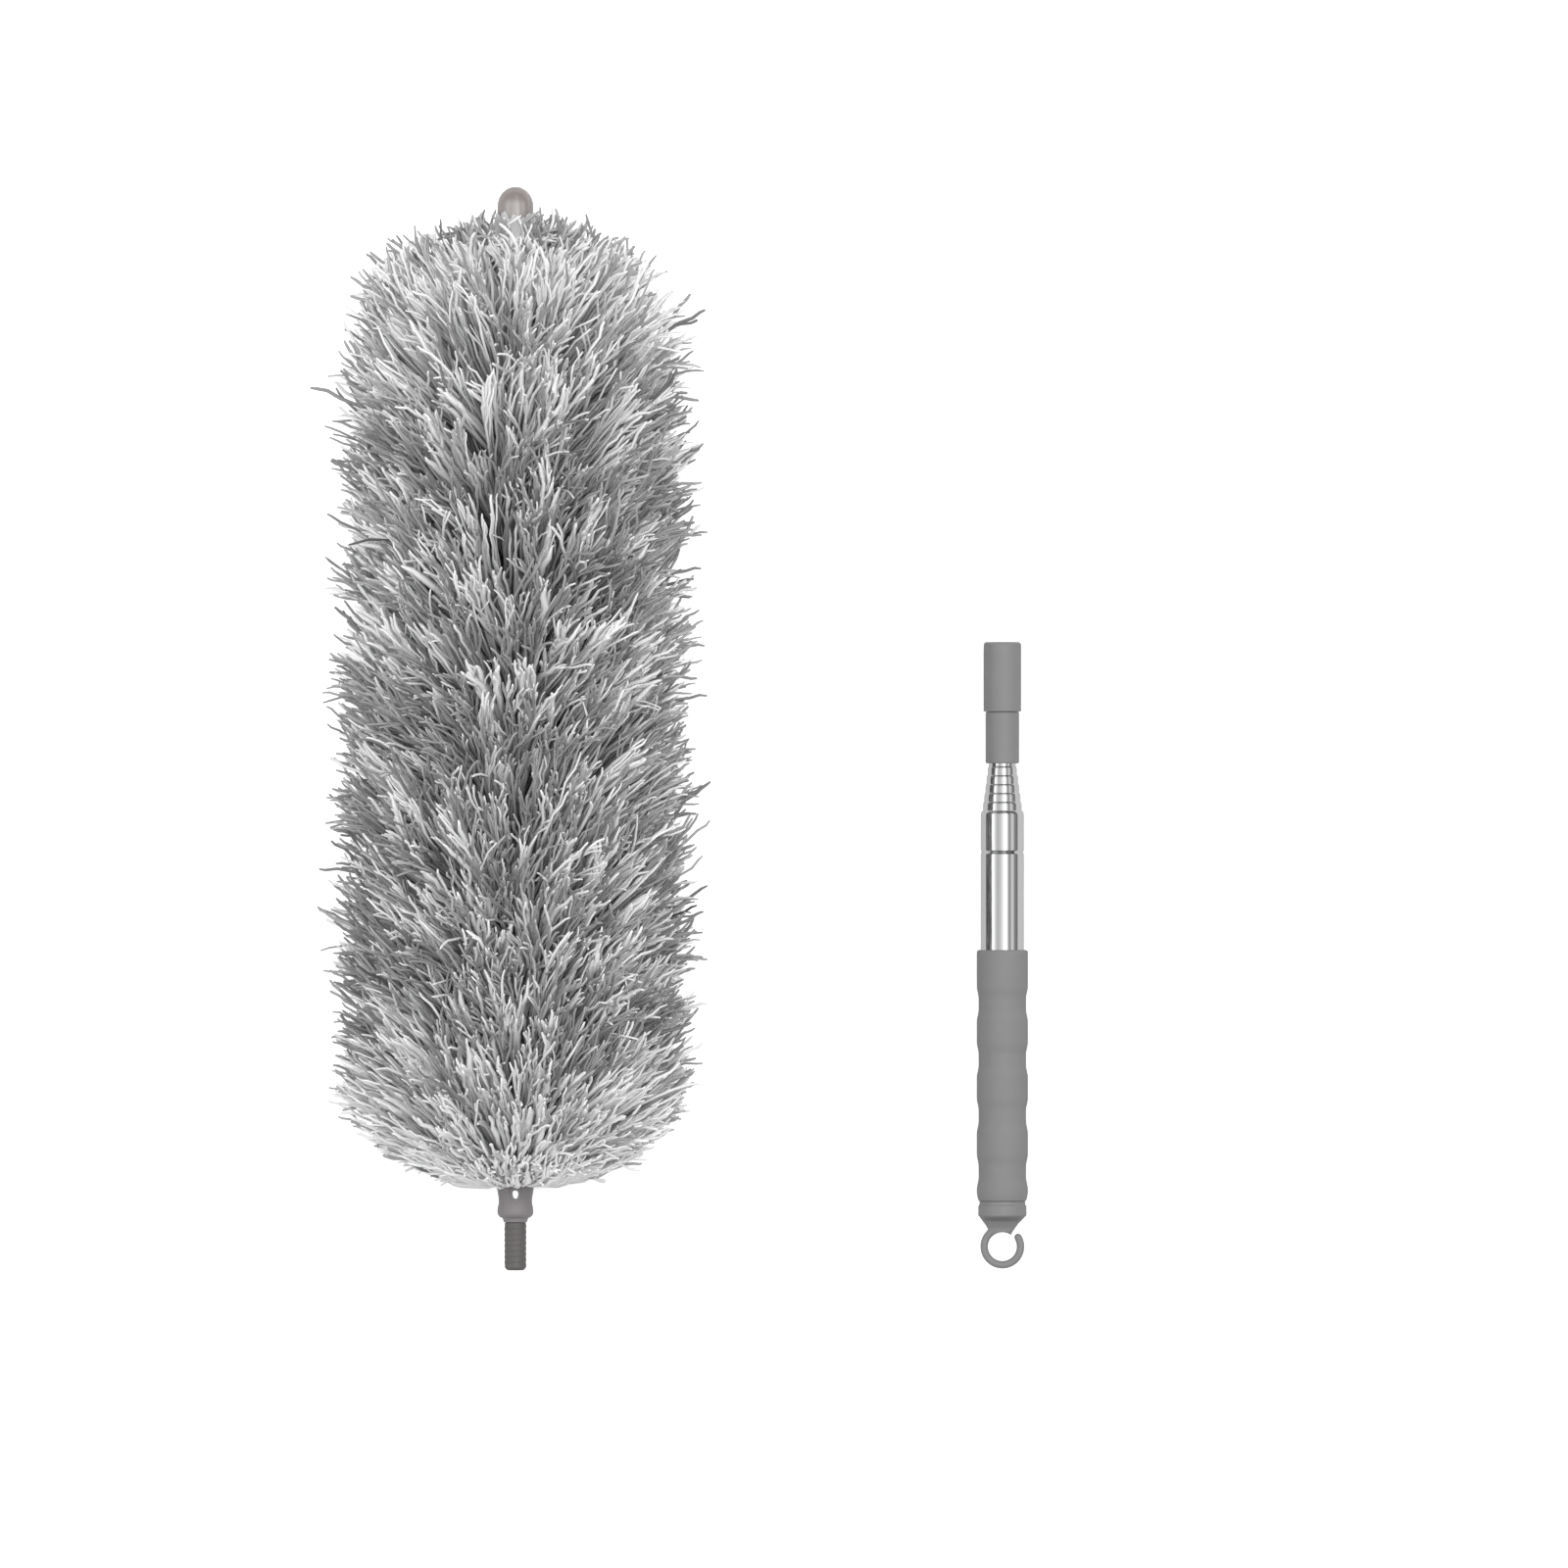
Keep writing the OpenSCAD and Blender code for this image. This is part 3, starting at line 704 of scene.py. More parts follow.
def strand_mesh(name, strands):
    """One mesh of tapered tubes along the paths, with a UV map along the strand and, at each point, the strand's
    tone with painted shade that is darker towards the wire, where the strands would shade each other.
    Thousands of free strands are laid out as arrays, because no primitive or modifier can place them."""
    path, radius, tone_and_painted_light = strands["path"], strands["radius"], strands["tone_and_painted_light"]
    count, rings = path.shape[:2]
    along = np.gradient(path, axis=1)
    along /= np.linalg.norm(along, axis=2, keepdims=True)
    side = np.cross(path[:, -1] - path[:, 0], np.array([0.0, 1.0, 0.0]))
    side /= np.linalg.norm(side, axis=1, keepdims=True) + 1e-12
    first = np.cross(along, side[:, None, :])
    first /= np.linalg.norm(first, axis=2, keepdims=True)
    second = np.cross(along, first)
    roll_cos, roll_sin = np.cos(strands["roll"])[:, None, None], np.sin(strands["roll"])[:, None, None]
    first, second = first * roll_cos + second * roll_sin, second * roll_cos - first * roll_sin
    wide = strands["flat"][:, None] > 1.5
    thin = radius[:, None] * np.where(wide, 0.8 * STRAND_TAPER, STRAND_TAPER)
    broad = (radius * strands["flat"])[:, None] * np.where(wide, TUFT_TAPER, STRAND_TAPER)
    angles = np.arange(STRAND_SIDES) / STRAND_SIDES * TURN
    points = path[:, :, None, :] \
        + (broad[:, :, None] * np.cos(angles))[..., None] * first[:, :, None, :] \
        + (thin[:, :, None] * np.sin(angles))[..., None] * second[:, :, None, :]
    points[..., 2] = np.maximum(points[..., 2], 0.05 * MM)
    # Painted shade: each point's tone is darkened down to half near the wire, fading out towards the outline and
    # towards the crown and the foot.
    depth = np.linalg.norm(path[:, :, [0, 2]] - np.array([HEAD_AXIS.x, HEAD_AXIS.z]), axis=2)
    edge = np.maximum(outline_radius(path[:, :, 1], YARN_RADIUS), 24 * MM)
    by_end = np.maximum(path[:, :, 1] - (YARN_TO - 75 * MM), YARN_FROM + 50 * MM - path[:, :, 1])
    deep = np.clip(np.maximum((depth / edge - 0.35) / 0.45, by_end / (40 * MM)), 0, 1)
    shade = np.clip(tone_and_painted_light[:, None] * (0.50 + 0.50 * deep), 0.02, 1.15)
    vertex_shade = np.repeat(shade[:, :, None], STRAND_SIDES, axis=2)

    per_strand = rings * STRAND_SIDES
    ring, around = np.meshgrid(np.arange(rings - 1), np.arange(STRAND_SIDES), indexing="ij")
    after = (around + 1) % STRAND_SIDES
    quad = np.stack([ring * STRAND_SIDES + around, ring * STRAND_SIDES + after,
                     (ring + 1) * STRAND_SIDES + after, (ring + 1) * STRAND_SIDES + around], axis=2)
    quad = quad.reshape(-1, 4)
    tip = (rings - 1) * STRAND_SIDES + np.arange(STRAND_SIDES)
    foot = np.arange(STRAND_SIDES)[::-1]
    faces = np.vstack([quad, tip[None], foot[None]])
    index = (np.arange(count)[:, None, None] * per_strand + faces[None]).reshape(-1, 4)

    mesh = bpy.data.meshes.new(name)
    mesh.vertices.add(count * per_strand)
    mesh.vertices.foreach_set("co", points.astype(np.float32).ravel())
    mesh.loops.add(index.size)
    mesh.loops.foreach_set("vertex_index", index.astype(np.int32).ravel())
    mesh.polygons.add(len(index))
    mesh.polygons.foreach_set("loop_start", np.arange(0, index.size, 4, dtype=np.int32))
    mesh.polygons.foreach_set("use_smooth", np.ones(len(index), bool))
    mesh.update(calc_edges=True)
    # The attribute carries the strand's tone with the painted shade near the wire and the painted light of the
    # head's ends.
    attribute = mesh.attributes.new("tone_and_painted_light", "FLOAT", "POINT")
    attribute.data.foreach_set("value", vertex_shade.astype(np.float32).ravel())
    distance = np.concatenate([np.zeros((count, 1)), np.cumsum(
        np.linalg.norm(np.diff(path, axis=1), axis=2), axis=1)], axis=1) / (1.6 * MM)
    start = (np.arange(count) * 7.31)[:, None]
    u = start + np.tile(np.arange(STRAND_SIDES) / STRAND_SIDES, rings)[None]
    v = np.repeat(distance, STRAND_SIDES, axis=1)
    layer = mesh.uv_layers.new(name="strand")
    pairs = np.stack([u, v], axis=2).reshape(-1, 2)
    layer.data.foreach_set("uv", pairs[index.ravel()].astype(np.float32).ravel())
    obj = bpy.data.objects.new(name, mesh)
    bpy.context.scene.collection.objects.link(obj)
    return obj


class DUSTER_OT_yarn(bpy.types.Operator):
    """Lays the strands and tufts of yarn round the wire"""
    bl_idname = "duster.make_yarn"
    bl_label = "Yarn"

    def execute(self, context):
        settings = context.scene.duster_yarn
        rng = np.random.default_rng(20)
        strands = strand_set(settings, settings.strands, settings.lock_strands, False, rng)
        branches = forks(strands, rng)
        tufts = strand_set(settings, settings.tufts, 7, True, rng)
        every = {key: np.concatenate([strands[key], branches[key], tufts[key]]) for key in strands}
        material = yarn_material(settings)
        centre = (BEND_LOW.y + BEND_HIGH.y) / 2
        halves = (("lower", "head_base", "head_mid", BEND_LOW, ("yarn_base", "yarn_mid")),
                  ("upper", "head_mid", "head_tip", BEND_HIGH, ("yarn_mid", "yarn_tip")))
        is_upper = every["path"][:, RINGS.size // 2, 1] > centre
        sector = np.floor(every["turn"] / TURN * SECTORS).astype(int)
        for half, (label, below, above, hinge, nodes) in enumerate(halves):
            for part in range(SECTORS):
                chosen = (is_upper == bool(half)) & (sector == part)
                piece = strand_mesh(f"yarn_{label}_{part + 1}", {k: v[chosen] for k, v in every.items()})
                dress(piece, material)
                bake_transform(piece)
                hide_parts(*nodes)
        return {"FINISHED"}


# ---------------------------------------------------------------- the head's hard parts

class DUSTER_OT_core_wire(bpy.types.Operator):
    """Twists two wires into the core, with an eye at its foot"""
    bl_idname = "duster.make_core_wire"
    bl_label = "Twisted wire"

    def execute(self, context):
        settings = context.scene.duster_head
        material = material_once("galvanised wire", lambda n: worn_material(
            n, (0.42, 0.42, 0.43), 0.2, 1800.0, 0.06, 0.3, 0.5, Metallic=1.0))
        core = half_width("core_wire_mid")
        strand = core / 2
        centre = (BEND_LOW.y + BEND_HIGH.y) / 2
        eye_low, eye_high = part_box("core_wire_base")
        shank_from = eye_low.y + 8 * MM
        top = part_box("core_wire_tip")[1].y
        runs = (("lower", shank_from, centre, "head_base", "head_mid", BEND_LOW,
                 ("core_wire_base", "core_wire_mid")),
                ("upper", centre, top, "head_mid", "head_tip", BEND_HIGH,
                 ("core_wire_mid", "core_wire_tip")))
        for label, y_from, y_to, below, above, hinge, nodes in runs:
            turns = (y_to - y_from) / settings.twist_pitch
            section = [(core - strand + strand * math.cos(a), strand * 1.6 * math.sin(a))
                       for a in np.arange(10) / 10 * TURN]
            wires = []
            for start in (0, math.pi):
                wire = helix("wire", Vector(), 0, turns, settings.twist_pitch, section, 16)
                wire.rotation_euler = (0, start, 0)
                wire.location = (HEAD_AXIS.x, y_from, HEAD_AXIS.z)
                only(wire)
                bpy.ops.object.transform_apply(location=True, rotation=True, scale=True)
                wires.append(wire)
            piece = join(*wires)
            if label == "lower":
                piece = join(piece, wire_eye(eye_low.y, shank_from))
            piece.name = f"core_wire_{label}"
            dress(settle(piece), material)
            start = Vector((hinge.x, hinge.y - BLEND_REACH, hinge.z))
            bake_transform(piece)
            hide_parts(*nodes)
        return {"FINISHED"}


def wire_eye(y_from, y_to):
    """The loop at the wire's foot: a ring drawn out along the wire."""
    wire = 0.8 * MM
    ring = half_width("core_wire_base") - wire
    bpy.ops.object.select_all(action="DESELECT")
    low = y_from + wire + ring
    bpy.ops.mesh.primitive_torus_add(major_radius=ring, minor_radius=wire, major_segments=32,
                                     minor_segments=12, location=(HEAD_AXIS.x, low, HEAD_AXIS.z))
    eye = bpy.context.object
    bpy.ops.object.transform_apply(location=True, rotation=True, scale=True)
    edit(eye)
    close_edit()
    for vertex in eye.data.vertices:
        vertex.select = vertex.co.y > low + 0.01 * MM
    bpy.ops.object.mode_set(mode="EDIT")
    bpy.ops.transform.translate(value=(0, y_to - y_from - 2 * ring - wire, 0))
    close_edit()
    return eye


class DUSTER_OT_stud(bpy.types.Operator):
    """Turns the stud and cuts its coarse thread"""
    bl_idname = "duster.make_stud"
    bl_label = "Threaded stud"

    def execute(self, context):
        settings = context.scene.duster_head
        low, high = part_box("threaded_stud")
        radius = half_width("threaded_stud")
        depth, pitch = settings.thread_depth, settings.thread_pitch
        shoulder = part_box("ferrule")[0].y
        root = radius - depth
        chamfer = 1.2 * MM
        profile = round_over([
            (0.6 * MM, low.y), (root - chamfer, low.y), (root, low.y + chamfer), (root, shoulder - 0.2 * MM),
            (radius - 1.55 * MM, shoulder + 0.1 * MM), (radius - 1.55 * MM, high.y), (0.6 * MM, high.y)],
            0.3 * MM)
        piece = turned("threaded_stud_looks", HEAD_AXIS, profile, 64)
        ridge = [(root - 0.25 * MM, -pitch * 0.40), (root + depth * 0.55, -pitch * 0.22),
                 (radius, -pitch * 0.08), (radius, pitch * 0.08),
                 (root + depth * 0.55, pitch * 0.22), (root - 0.25 * MM, pitch * 0.40)]
        turns = (shoulder - low.y - chamfer - pitch) / pitch
        thread = helix("thread", HEAD_AXIS, low.y + chamfer + pitch * 0.45, turns, pitch, ridge, 32)
        piece = join(piece, thread)
        dress(settle(piece, 50), moulded_plastic("stud plastic", settings.stud, 0.38))
        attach(piece, "head_base")
        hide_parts("threaded_stud")
        return {"FINISHED"}


class DUSTER_OT_ferrule(bpy.types.Operator):
    """Turns the tulip-shaped ferrule and cuts the arched hole through it"""
    bl_idname = "duster.make_ferrule"
    bl_label = "Ferrule"

    def execute(self, context):
        settings = context.scene.duster_head
        low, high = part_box("ferrule")
        foot, rim = low.y, high.y
        bore = half_width("threaded_stud") - 1.45 * MM
        inner = 3.3 * MM
        rim_r = half_width("ferrule")
        lip = foot + 5.4 * MM
        outside = round_over([
            (bore, foot), (5.2 * MM, foot), (5.35 * MM, foot + 0.4 * MM), (5.75 * MM, lip - 3.5 * MM),
            (6.9 * MM, lip - 3.1 * MM), (7.9 * MM, lip - 2.0 * MM), (8.1 * MM, lip - 0.4 * MM),
            (7.95 * MM, lip + 1.0 * MM),
            (7.45 * MM, lip + 3.4 * MM), (7.5 * MM, lip + 5.4 * MM), (8.0 * MM, lip + 8.6 * MM),
            (8.75 * MM, lip + 12.0 * MM), (rim_r, rim), (rim_r - 0.9 * MM, rim),
            (inner, rim - 5 * MM), (inner, foot + 7.6 * MM), (bore, foot + 7.4 * MM)], 0.5 * MM, 3)
        piece = turned("ferrule_looks", HEAD_AXIS, outside, 96, "bridge")
        settle(piece)
        eye = middle_of_hole = foot + 12.3 * MM
        for side in (-1, 1):
            front = HEAD_AXIS.z + side * 6.6 * MM
            arch = arch_tool(eye, 2.85 * MM, 1.7 * MM, front, HEAD_AXIS.z + side * 14 * MM)
            cut_with(piece, arch)
        hole = arch_tool(middle_of_hole, 1.35 * MM, 0.7 * MM, HEAD_AXIS.z - 14 * MM, HEAD_AXIS.z + 14 * MM)
        cut_with(piece, hole)
        apply_modifier(piece, "BEVEL", width=0.18 * MM, segments=2, limit_method="ANGLE",
                       angle_limit=math.radians(40))
        dress(settle(piece, 30), moulded_plastic("ferrule plastic", settings.ferrule, 0.36))
        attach(piece, "head_base")
        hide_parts("ferrule")
        return {"FINISHED"}


def arch_tool(y, radius, half, z_from, z_to):
    """A tool with round ends along Y, for a slot along Z; its upper end is the wider one."""
    top = rod((HEAD_AXIS.x, y + half, z_from), (HEAD_AXIS.x, y + half, z_to), radius, 40)
    low = rod((HEAD_AXIS.x, y - half, z_from), (HEAD_AXIS.x, y - half, z_to), radius * 0.78, 40)
    tool = join(top, low)
    edit(tool)
    bpy.ops.mesh.select_all(action="SELECT")
    bpy.ops.mesh.convex_hull()
    close_edit()
    return tool


class DUSTER_OT_cap(bpy.types.Operator):
    """Turns the bullet-shaped cap with its wall and inner boss"""
    bl_idname = "duster.make_cap"
    bl_label = "Tip cap"

    def execute(self, context):
        settings = context.scene.duster_head
        low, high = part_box("tip_cap")
        radius, wall, dome = half_width("tip_cap"), 1.0 * MM, 9.0 * MM
        straight = high.y - dome
        quarter = [k / 14 * math.pi / 2 for k in range(15)]
        outside = [(max(radius * math.cos(a), 0.02 * MM), straight + dome * math.sin(a)) for a in quarter]
        inside = [(max((radius - wall) * math.cos(a), 0.02 * MM), straight + (dome - wall) * math.sin(a))
                  for a in reversed(quarter)]
        profile = [(radius - wall, low.y), (radius, low.y + 0.2 * MM)] + outside + inside
        piece = turned("tip_cap_looks", HEAD_AXIS, profile, 72, "bridge")
        wire_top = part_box("core_wire_tip")[1].y
        boss = turned("boss", HEAD_AXIS, [
            (2.6 * MM, wire_top - 6 * MM), (3.8 * MM, wire_top - 6 * MM), (3.7 * MM, wire_top + 2.5 * MM),
            (3.0 * MM, wire_top + 3.4 * MM), (0.4 * MM, wire_top + 3.6 * MM), (0.4 * MM, wire_top + 0.3 * MM),
            (2.6 * MM, wire_top + 0.2 * MM)], 48, "bridge")
        piece = join(piece, boss)
        dress(settle(piece), cap_plastic(settings.cap))
        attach(piece, "head_tip")
        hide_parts("tip_cap")
        self.skirt(high.y, radius)
        return {"FINISHED"}

    def skirt(self, top_y, radius):
        """A thin clear film that flares and frays round the cap's foot."""
        foot = top_y - 25 * MM
        film = turned("cap_skirt", HEAD_AXIS, [
            (radius + 3.6 * MM, foot), (radius + 4.0 * MM, foot + 2.5 * MM), (radius + 3.3 * MM, foot + 5.5 * MM),
            (radius + 1.7 * MM, foot + 8.2 * MM), (radius + 0.7 * MM, foot + 10 * MM),
            (radius + 0.5 * MM, foot + 11.8 * MM), (radius + 0.35 * MM, foot + 12.0 * MM),
            (radius + 0.45 * MM, foot + 9.9 * MM), (radius + 1.35 * MM, foot + 8.0 * MM),
            (radius + 2.9 * MM, foot + 5.3 * MM), (radius + 3.6 * MM, foot + 2.5 * MM)], 96, "bridge")
        crumple = bpy.data.textures.new("crumple", "CLOUDS")
        crumple.noise_scale, crumple.noise_depth = 3.0 * MM, 2
        apply_modifier(film, "DISPLACE", texture=crumple, texture_coords="GLOBAL", direction="Y",
                       strength=7 * MM, mid_level=0.5)
        apply_modifier(film, "DISPLACE", texture=crumple, texture_coords="GLOBAL", strength=1.6 * MM,
                       mid_level=0.4)
        dress(settle(film), clear_film())
        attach(film, "head_tip")
        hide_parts("tip_cap")


# ---------------------------------------------------------------- the pole

def finger_dip(height, settings):
    """Depth of the finger waists at a height over the grip's foot: short flats with soft slopes."""
    first, pitch, flat, slope = 13.4 * MM, 25.2 * MM, 2.2 * MM, 6.0 * MM
    nearest = max(0, min(3, round((height - first) / pitch)))
    off = (abs(height - first - nearest * pitch) - flat) / slope
    off = max(0.0, min(1.0, off))
    return settings.grip_dip * (1 + math.cos(math.pi * off)) / 2


class DUSTER_OT_grip(bpy.types.Operator):
    """Turns the grip with its finger waists and presses the thumb dimples"""
    bl_idname = "duster.make_grip"
    bl_label = "Grip"

    def execute(self, context):
        settings = context.scene.duster_pole
        low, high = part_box("grip_sleeve")
        radius = half_width("grip_sleeve")
        bore = half_width("outer_tube") + 0.05 * MM
        tall = high.y - low.y
        steps = 150
        profile = [(bore, low.y), (radius - 1.4 * MM, low.y)]
        for k in range(steps + 1):
            height = 0.35 * MM + (tall - 0.7 * MM) * k / steps
            foot = 0.95 * MM * max(0.0, 1 - height / (5 * MM)) ** 2
            edge = 0.4 * MM * max(0.0, 1 - (tall - height) / (1.0 * MM)) ** 2
            profile.append((radius - foot - edge - finger_dip(height, settings), low.y + height))
        profile += [(radius - 1.0 * MM, high.y), (bore, high.y)]
        piece = turned("grip_looks", POLE_AXIS, profile, 96, "bridge")
        first, pitch = 13.4 * MM, 25.2 * MM
        for k in range(3):
            spot = Vector((POLE_AXIS.x - 0.5 * MM, low.y + first + (k + 0.63) * pitch, POLE_AXIS.z + radius))
            for vertex in piece.data.vertices:
                off = vertex.co - spot
                away = math.hypot(off.x / (1.9 * MM), off.y / (2.3 * MM))
                if away < 1 and abs(off.z) < 2 * MM:
                    vertex.co.z -= settings.dimple * (1 + math.cos(math.pi * away)) / 2
        dress(settle(piece), grip_rubber("grip rubber", settings.grip))
        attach(piece, "handle")
        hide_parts("grip_sleeve")
        return {"FINISHED"}


class DUSTER_OT_end_cap(bpy.types.Operator):
    """Models the end cap: a grooved ring, a web that flattens below it and the open loop"""
    bl_idname = "duster.make_end_cap"
    bl_label = "End cap and hook"

    def execute(self, context):
        settings = context.scene.duster_pole
        low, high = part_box("end_cap")
        radius = half_width("end_cap")
        grip_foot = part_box("grip_sleeve")[0].y
        plug = half_width("outer_tube") - 0.55 * MM
        ring_top, ring_foot = grip_foot - 1.5 * MM, grip_foot - 6.8 * MM
        loop_r, rod_r = 8.2 * MM, 1.75 * MM
        eye = Vector((POLE_AXIS.x, low.y + loop_r + rod_r, POLE_AXIS.z))
        body = turned("end_cap_looks", POLE_AXIS, round_over([
            (0.5 * MM, ring_foot - 0.15 * MM), (radius - 0.5 * MM, ring_foot - 0.1 * MM), (radius, ring_foot + 0.5 * MM),
            (radius - 0.05 * MM, ring_top - 0.5 * MM), (radius - 0.6 * MM, ring_top),
            (radius - 0.6 * MM, grip_foot),
            (plug, grip_foot), (plug, high.y - 0.8 * MM),
            (plug - 0.8 * MM, high.y), (0.5 * MM, high.y)], 0.35 * MM), 96)
        settle(body)
        web = turned("web", POLE_AXIS, [
            (10.3 * MM, ring_foot + 0.8 * MM, 10.2 * MM, 0.0), (10.2 * MM, ring_foot - 0.2 * MM, 9.6 * MM, 0.0),
            (9.6 * MM, ring_foot - 0.9 * MM, 6.0 * MM, -0.1 * MM),
            (8.8 * MM, ring_foot - 1.9 * MM, 3.0 * MM, -0.25 * MM),
            (7.5 * MM, ring_foot - 3.4 * MM, 2.6 * MM, -0.4 * MM),
            (6.3 * MM, ring_foot - 5.2 * MM, 1.95 * MM, -0.5 * MM),
            (5.0 * MM, ring_foot - 7.2 * MM, 1.75 * MM, -0.6 * MM),
            (4.3 * MM, ring_foot - 8.8 * MM, 1.7 * MM, -0.5 * MM)], 64)
        settle(web)
        cut_with(web, rod(eye - Vector((0, 0, 20 * MM)), eye + Vector((0, 0, 20 * MM)), loop_r - rod_r, 96))
        hook = hook_loop(eye, loop_r, rod_r, math.radians(30), math.radians(64))
        piece = join(web, hook)
        apply_modifier(piece, "REMESH", mode="VOXEL", voxel_size=0.24 * MM)
        apply_modifier(piece, "SMOOTH", factor=0.5, iterations=6)
        piece = join(body, piece)
        dress(settle(piece), moulded_plastic("pole plastic", settings.plastic))
        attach(piece, "handle")
        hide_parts("end_cap")
        return {"FINISHED"}


def hook_loop(eye, loop_r, rod_r, open_end, root):
    """The open loop: a round section spun round the eye, with a ball at its free end."""
    bpy.ops.object.select_all(action="DESELECT")
    sweep = TURN - (root - open_end)
    tip = eye + Vector((math.cos(open_end), math.sin(open_end), 0)) * loop_r
    bpy.ops.mesh.primitive_circle_add(vertices=28, radius=rod_r, location=tip,
                                      rotation=(math.pi / 2, 0, open_end), fill_type="NGON")
    loop = bpy.context.object
    bpy.ops.object.transform_apply(location=True, rotation=True, scale=True)
    bpy.ops.object.mode_set(mode="EDIT")
    bpy.ops.mesh.select_all(action="SELECT")
    bpy.ops.mesh.spin(steps=90, angle=sweep, center=eye, axis=(0, 0, 1))
    bpy.ops.mesh.select_all(action="SELECT")
    bpy.ops.mesh.normals_make_consistent(inside=False)
    close_edit()
    bpy.ops.object.select_all(action="DESELECT")
    bpy.ops.mesh.primitive_uv_sphere_add(segments=28, ring_count=16, radius=rod_r, location=tip)
    ball = bpy.context.object
    bpy.ops.object.transform_apply(location=True, rotation=True, scale=True)
    return join(loop, ball)


def tube(name, node, wall, lip, shoulder, material, body):
    """A tube with a rolled-in rim at its top, on one frame node."""
    low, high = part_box(node)
    radius = half_width(node)
    profile = [(radius - wall, low.y), (radius - 0.05 * MM, low.y), (radius, low.y + 0.1 * MM),
               (radius, high.y - shoulder), (radius - 0.05 * MM, high.y - shoulder * 0.6),
               (radius - 0.15 * MM, high.y - shoulder * 0.3), (radius - 0.28 * MM, high.y - shoulder * 0.1),
               (radius - 0.44 * MM, high.y)]
    if lip < radius - 0.45 * MM:
        profile += [(lip, high.y), (lip, high.y - 1.2 * MM), (radius - wall, high.y - 1.3 * MM)]
    piece = turned(name, POLE_AXIS, profile, 96, "bridge")
    dress(settle(piece, 40), material)
    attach(piece, body)
    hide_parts(node)
    return piece


class DUSTER_OT_tubes(bpy.types.Operator):
    """Turns the outer tube, its collar and the sliding tubes"""
    bl_idname = "duster.make_tubes"
    bl_label = "Telescopic tubes"

    def execute(self, context):
        settings = context.scene.duster_pole
        steel = polished_steel("polished steel", settings.steel)
        low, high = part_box("outer_tube")
        radius = half_width("outer_tube")
        outer = turned("outer_tube_looks", POLE_AXIS, [
            (radius - 0.5 * MM, low.y), (radius, low.y), (radius, high.y - 0.35 * MM),
            (radius - 0.1 * MM, high.y - 0.18 * MM), (radius - 0.46 * MM, high.y + 0.40 * MM),
            (radius - 0.5 * MM, high.y + 0.40 * MM)], 96, "bridge")
        dress(settle(outer, 40), steel)
        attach(outer, "handle")
        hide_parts("outer_tube")
        low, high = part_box("outer_collar")
        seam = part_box("outer_tube")[1].y + 0.9 * MM
        bore = half_width(SECTIONS[0]) + 0.05 * MM
        collar = turned("outer_collar_looks", POLE_AXIS, [
            (bore, low.y), (radius - 0.55 * MM, low.y), (radius - 0.55 * MM, seam - 0.42 * MM),
            (radius - 0.46 * MM, seam - 0.42 * MM), (radius - 0.1 * MM, seam + 0.18 * MM),
            (radius, seam + 0.35 * MM),
            (radius, high.y - 1.7 * MM), (radius - 0.08 * MM, high.y - 1.2 * MM),
            (radius - 0.35 * MM, high.y - 0.5 * MM), (radius - 0.65 * MM, high.y - 0.1 * MM),
            (radius - 0.8 * MM, high.y), (bore, high.y)], 96, "bridge")
        dress(settle(collar, 40), steel)
        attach(collar, "handle")
        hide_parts("outer_collar")
        for k, node in enumerate(SECTIONS):
            inner = half_width(SECTIONS[k + 1]) + 0.05 * MM if k + 1 < len(SECTIONS) else 1.0
            tube(f"{node}_looks", node, 0.3 * MM, inner, 1.7 * MM, steel, f"section_{k + 1}")
        return {"FINISHED"}


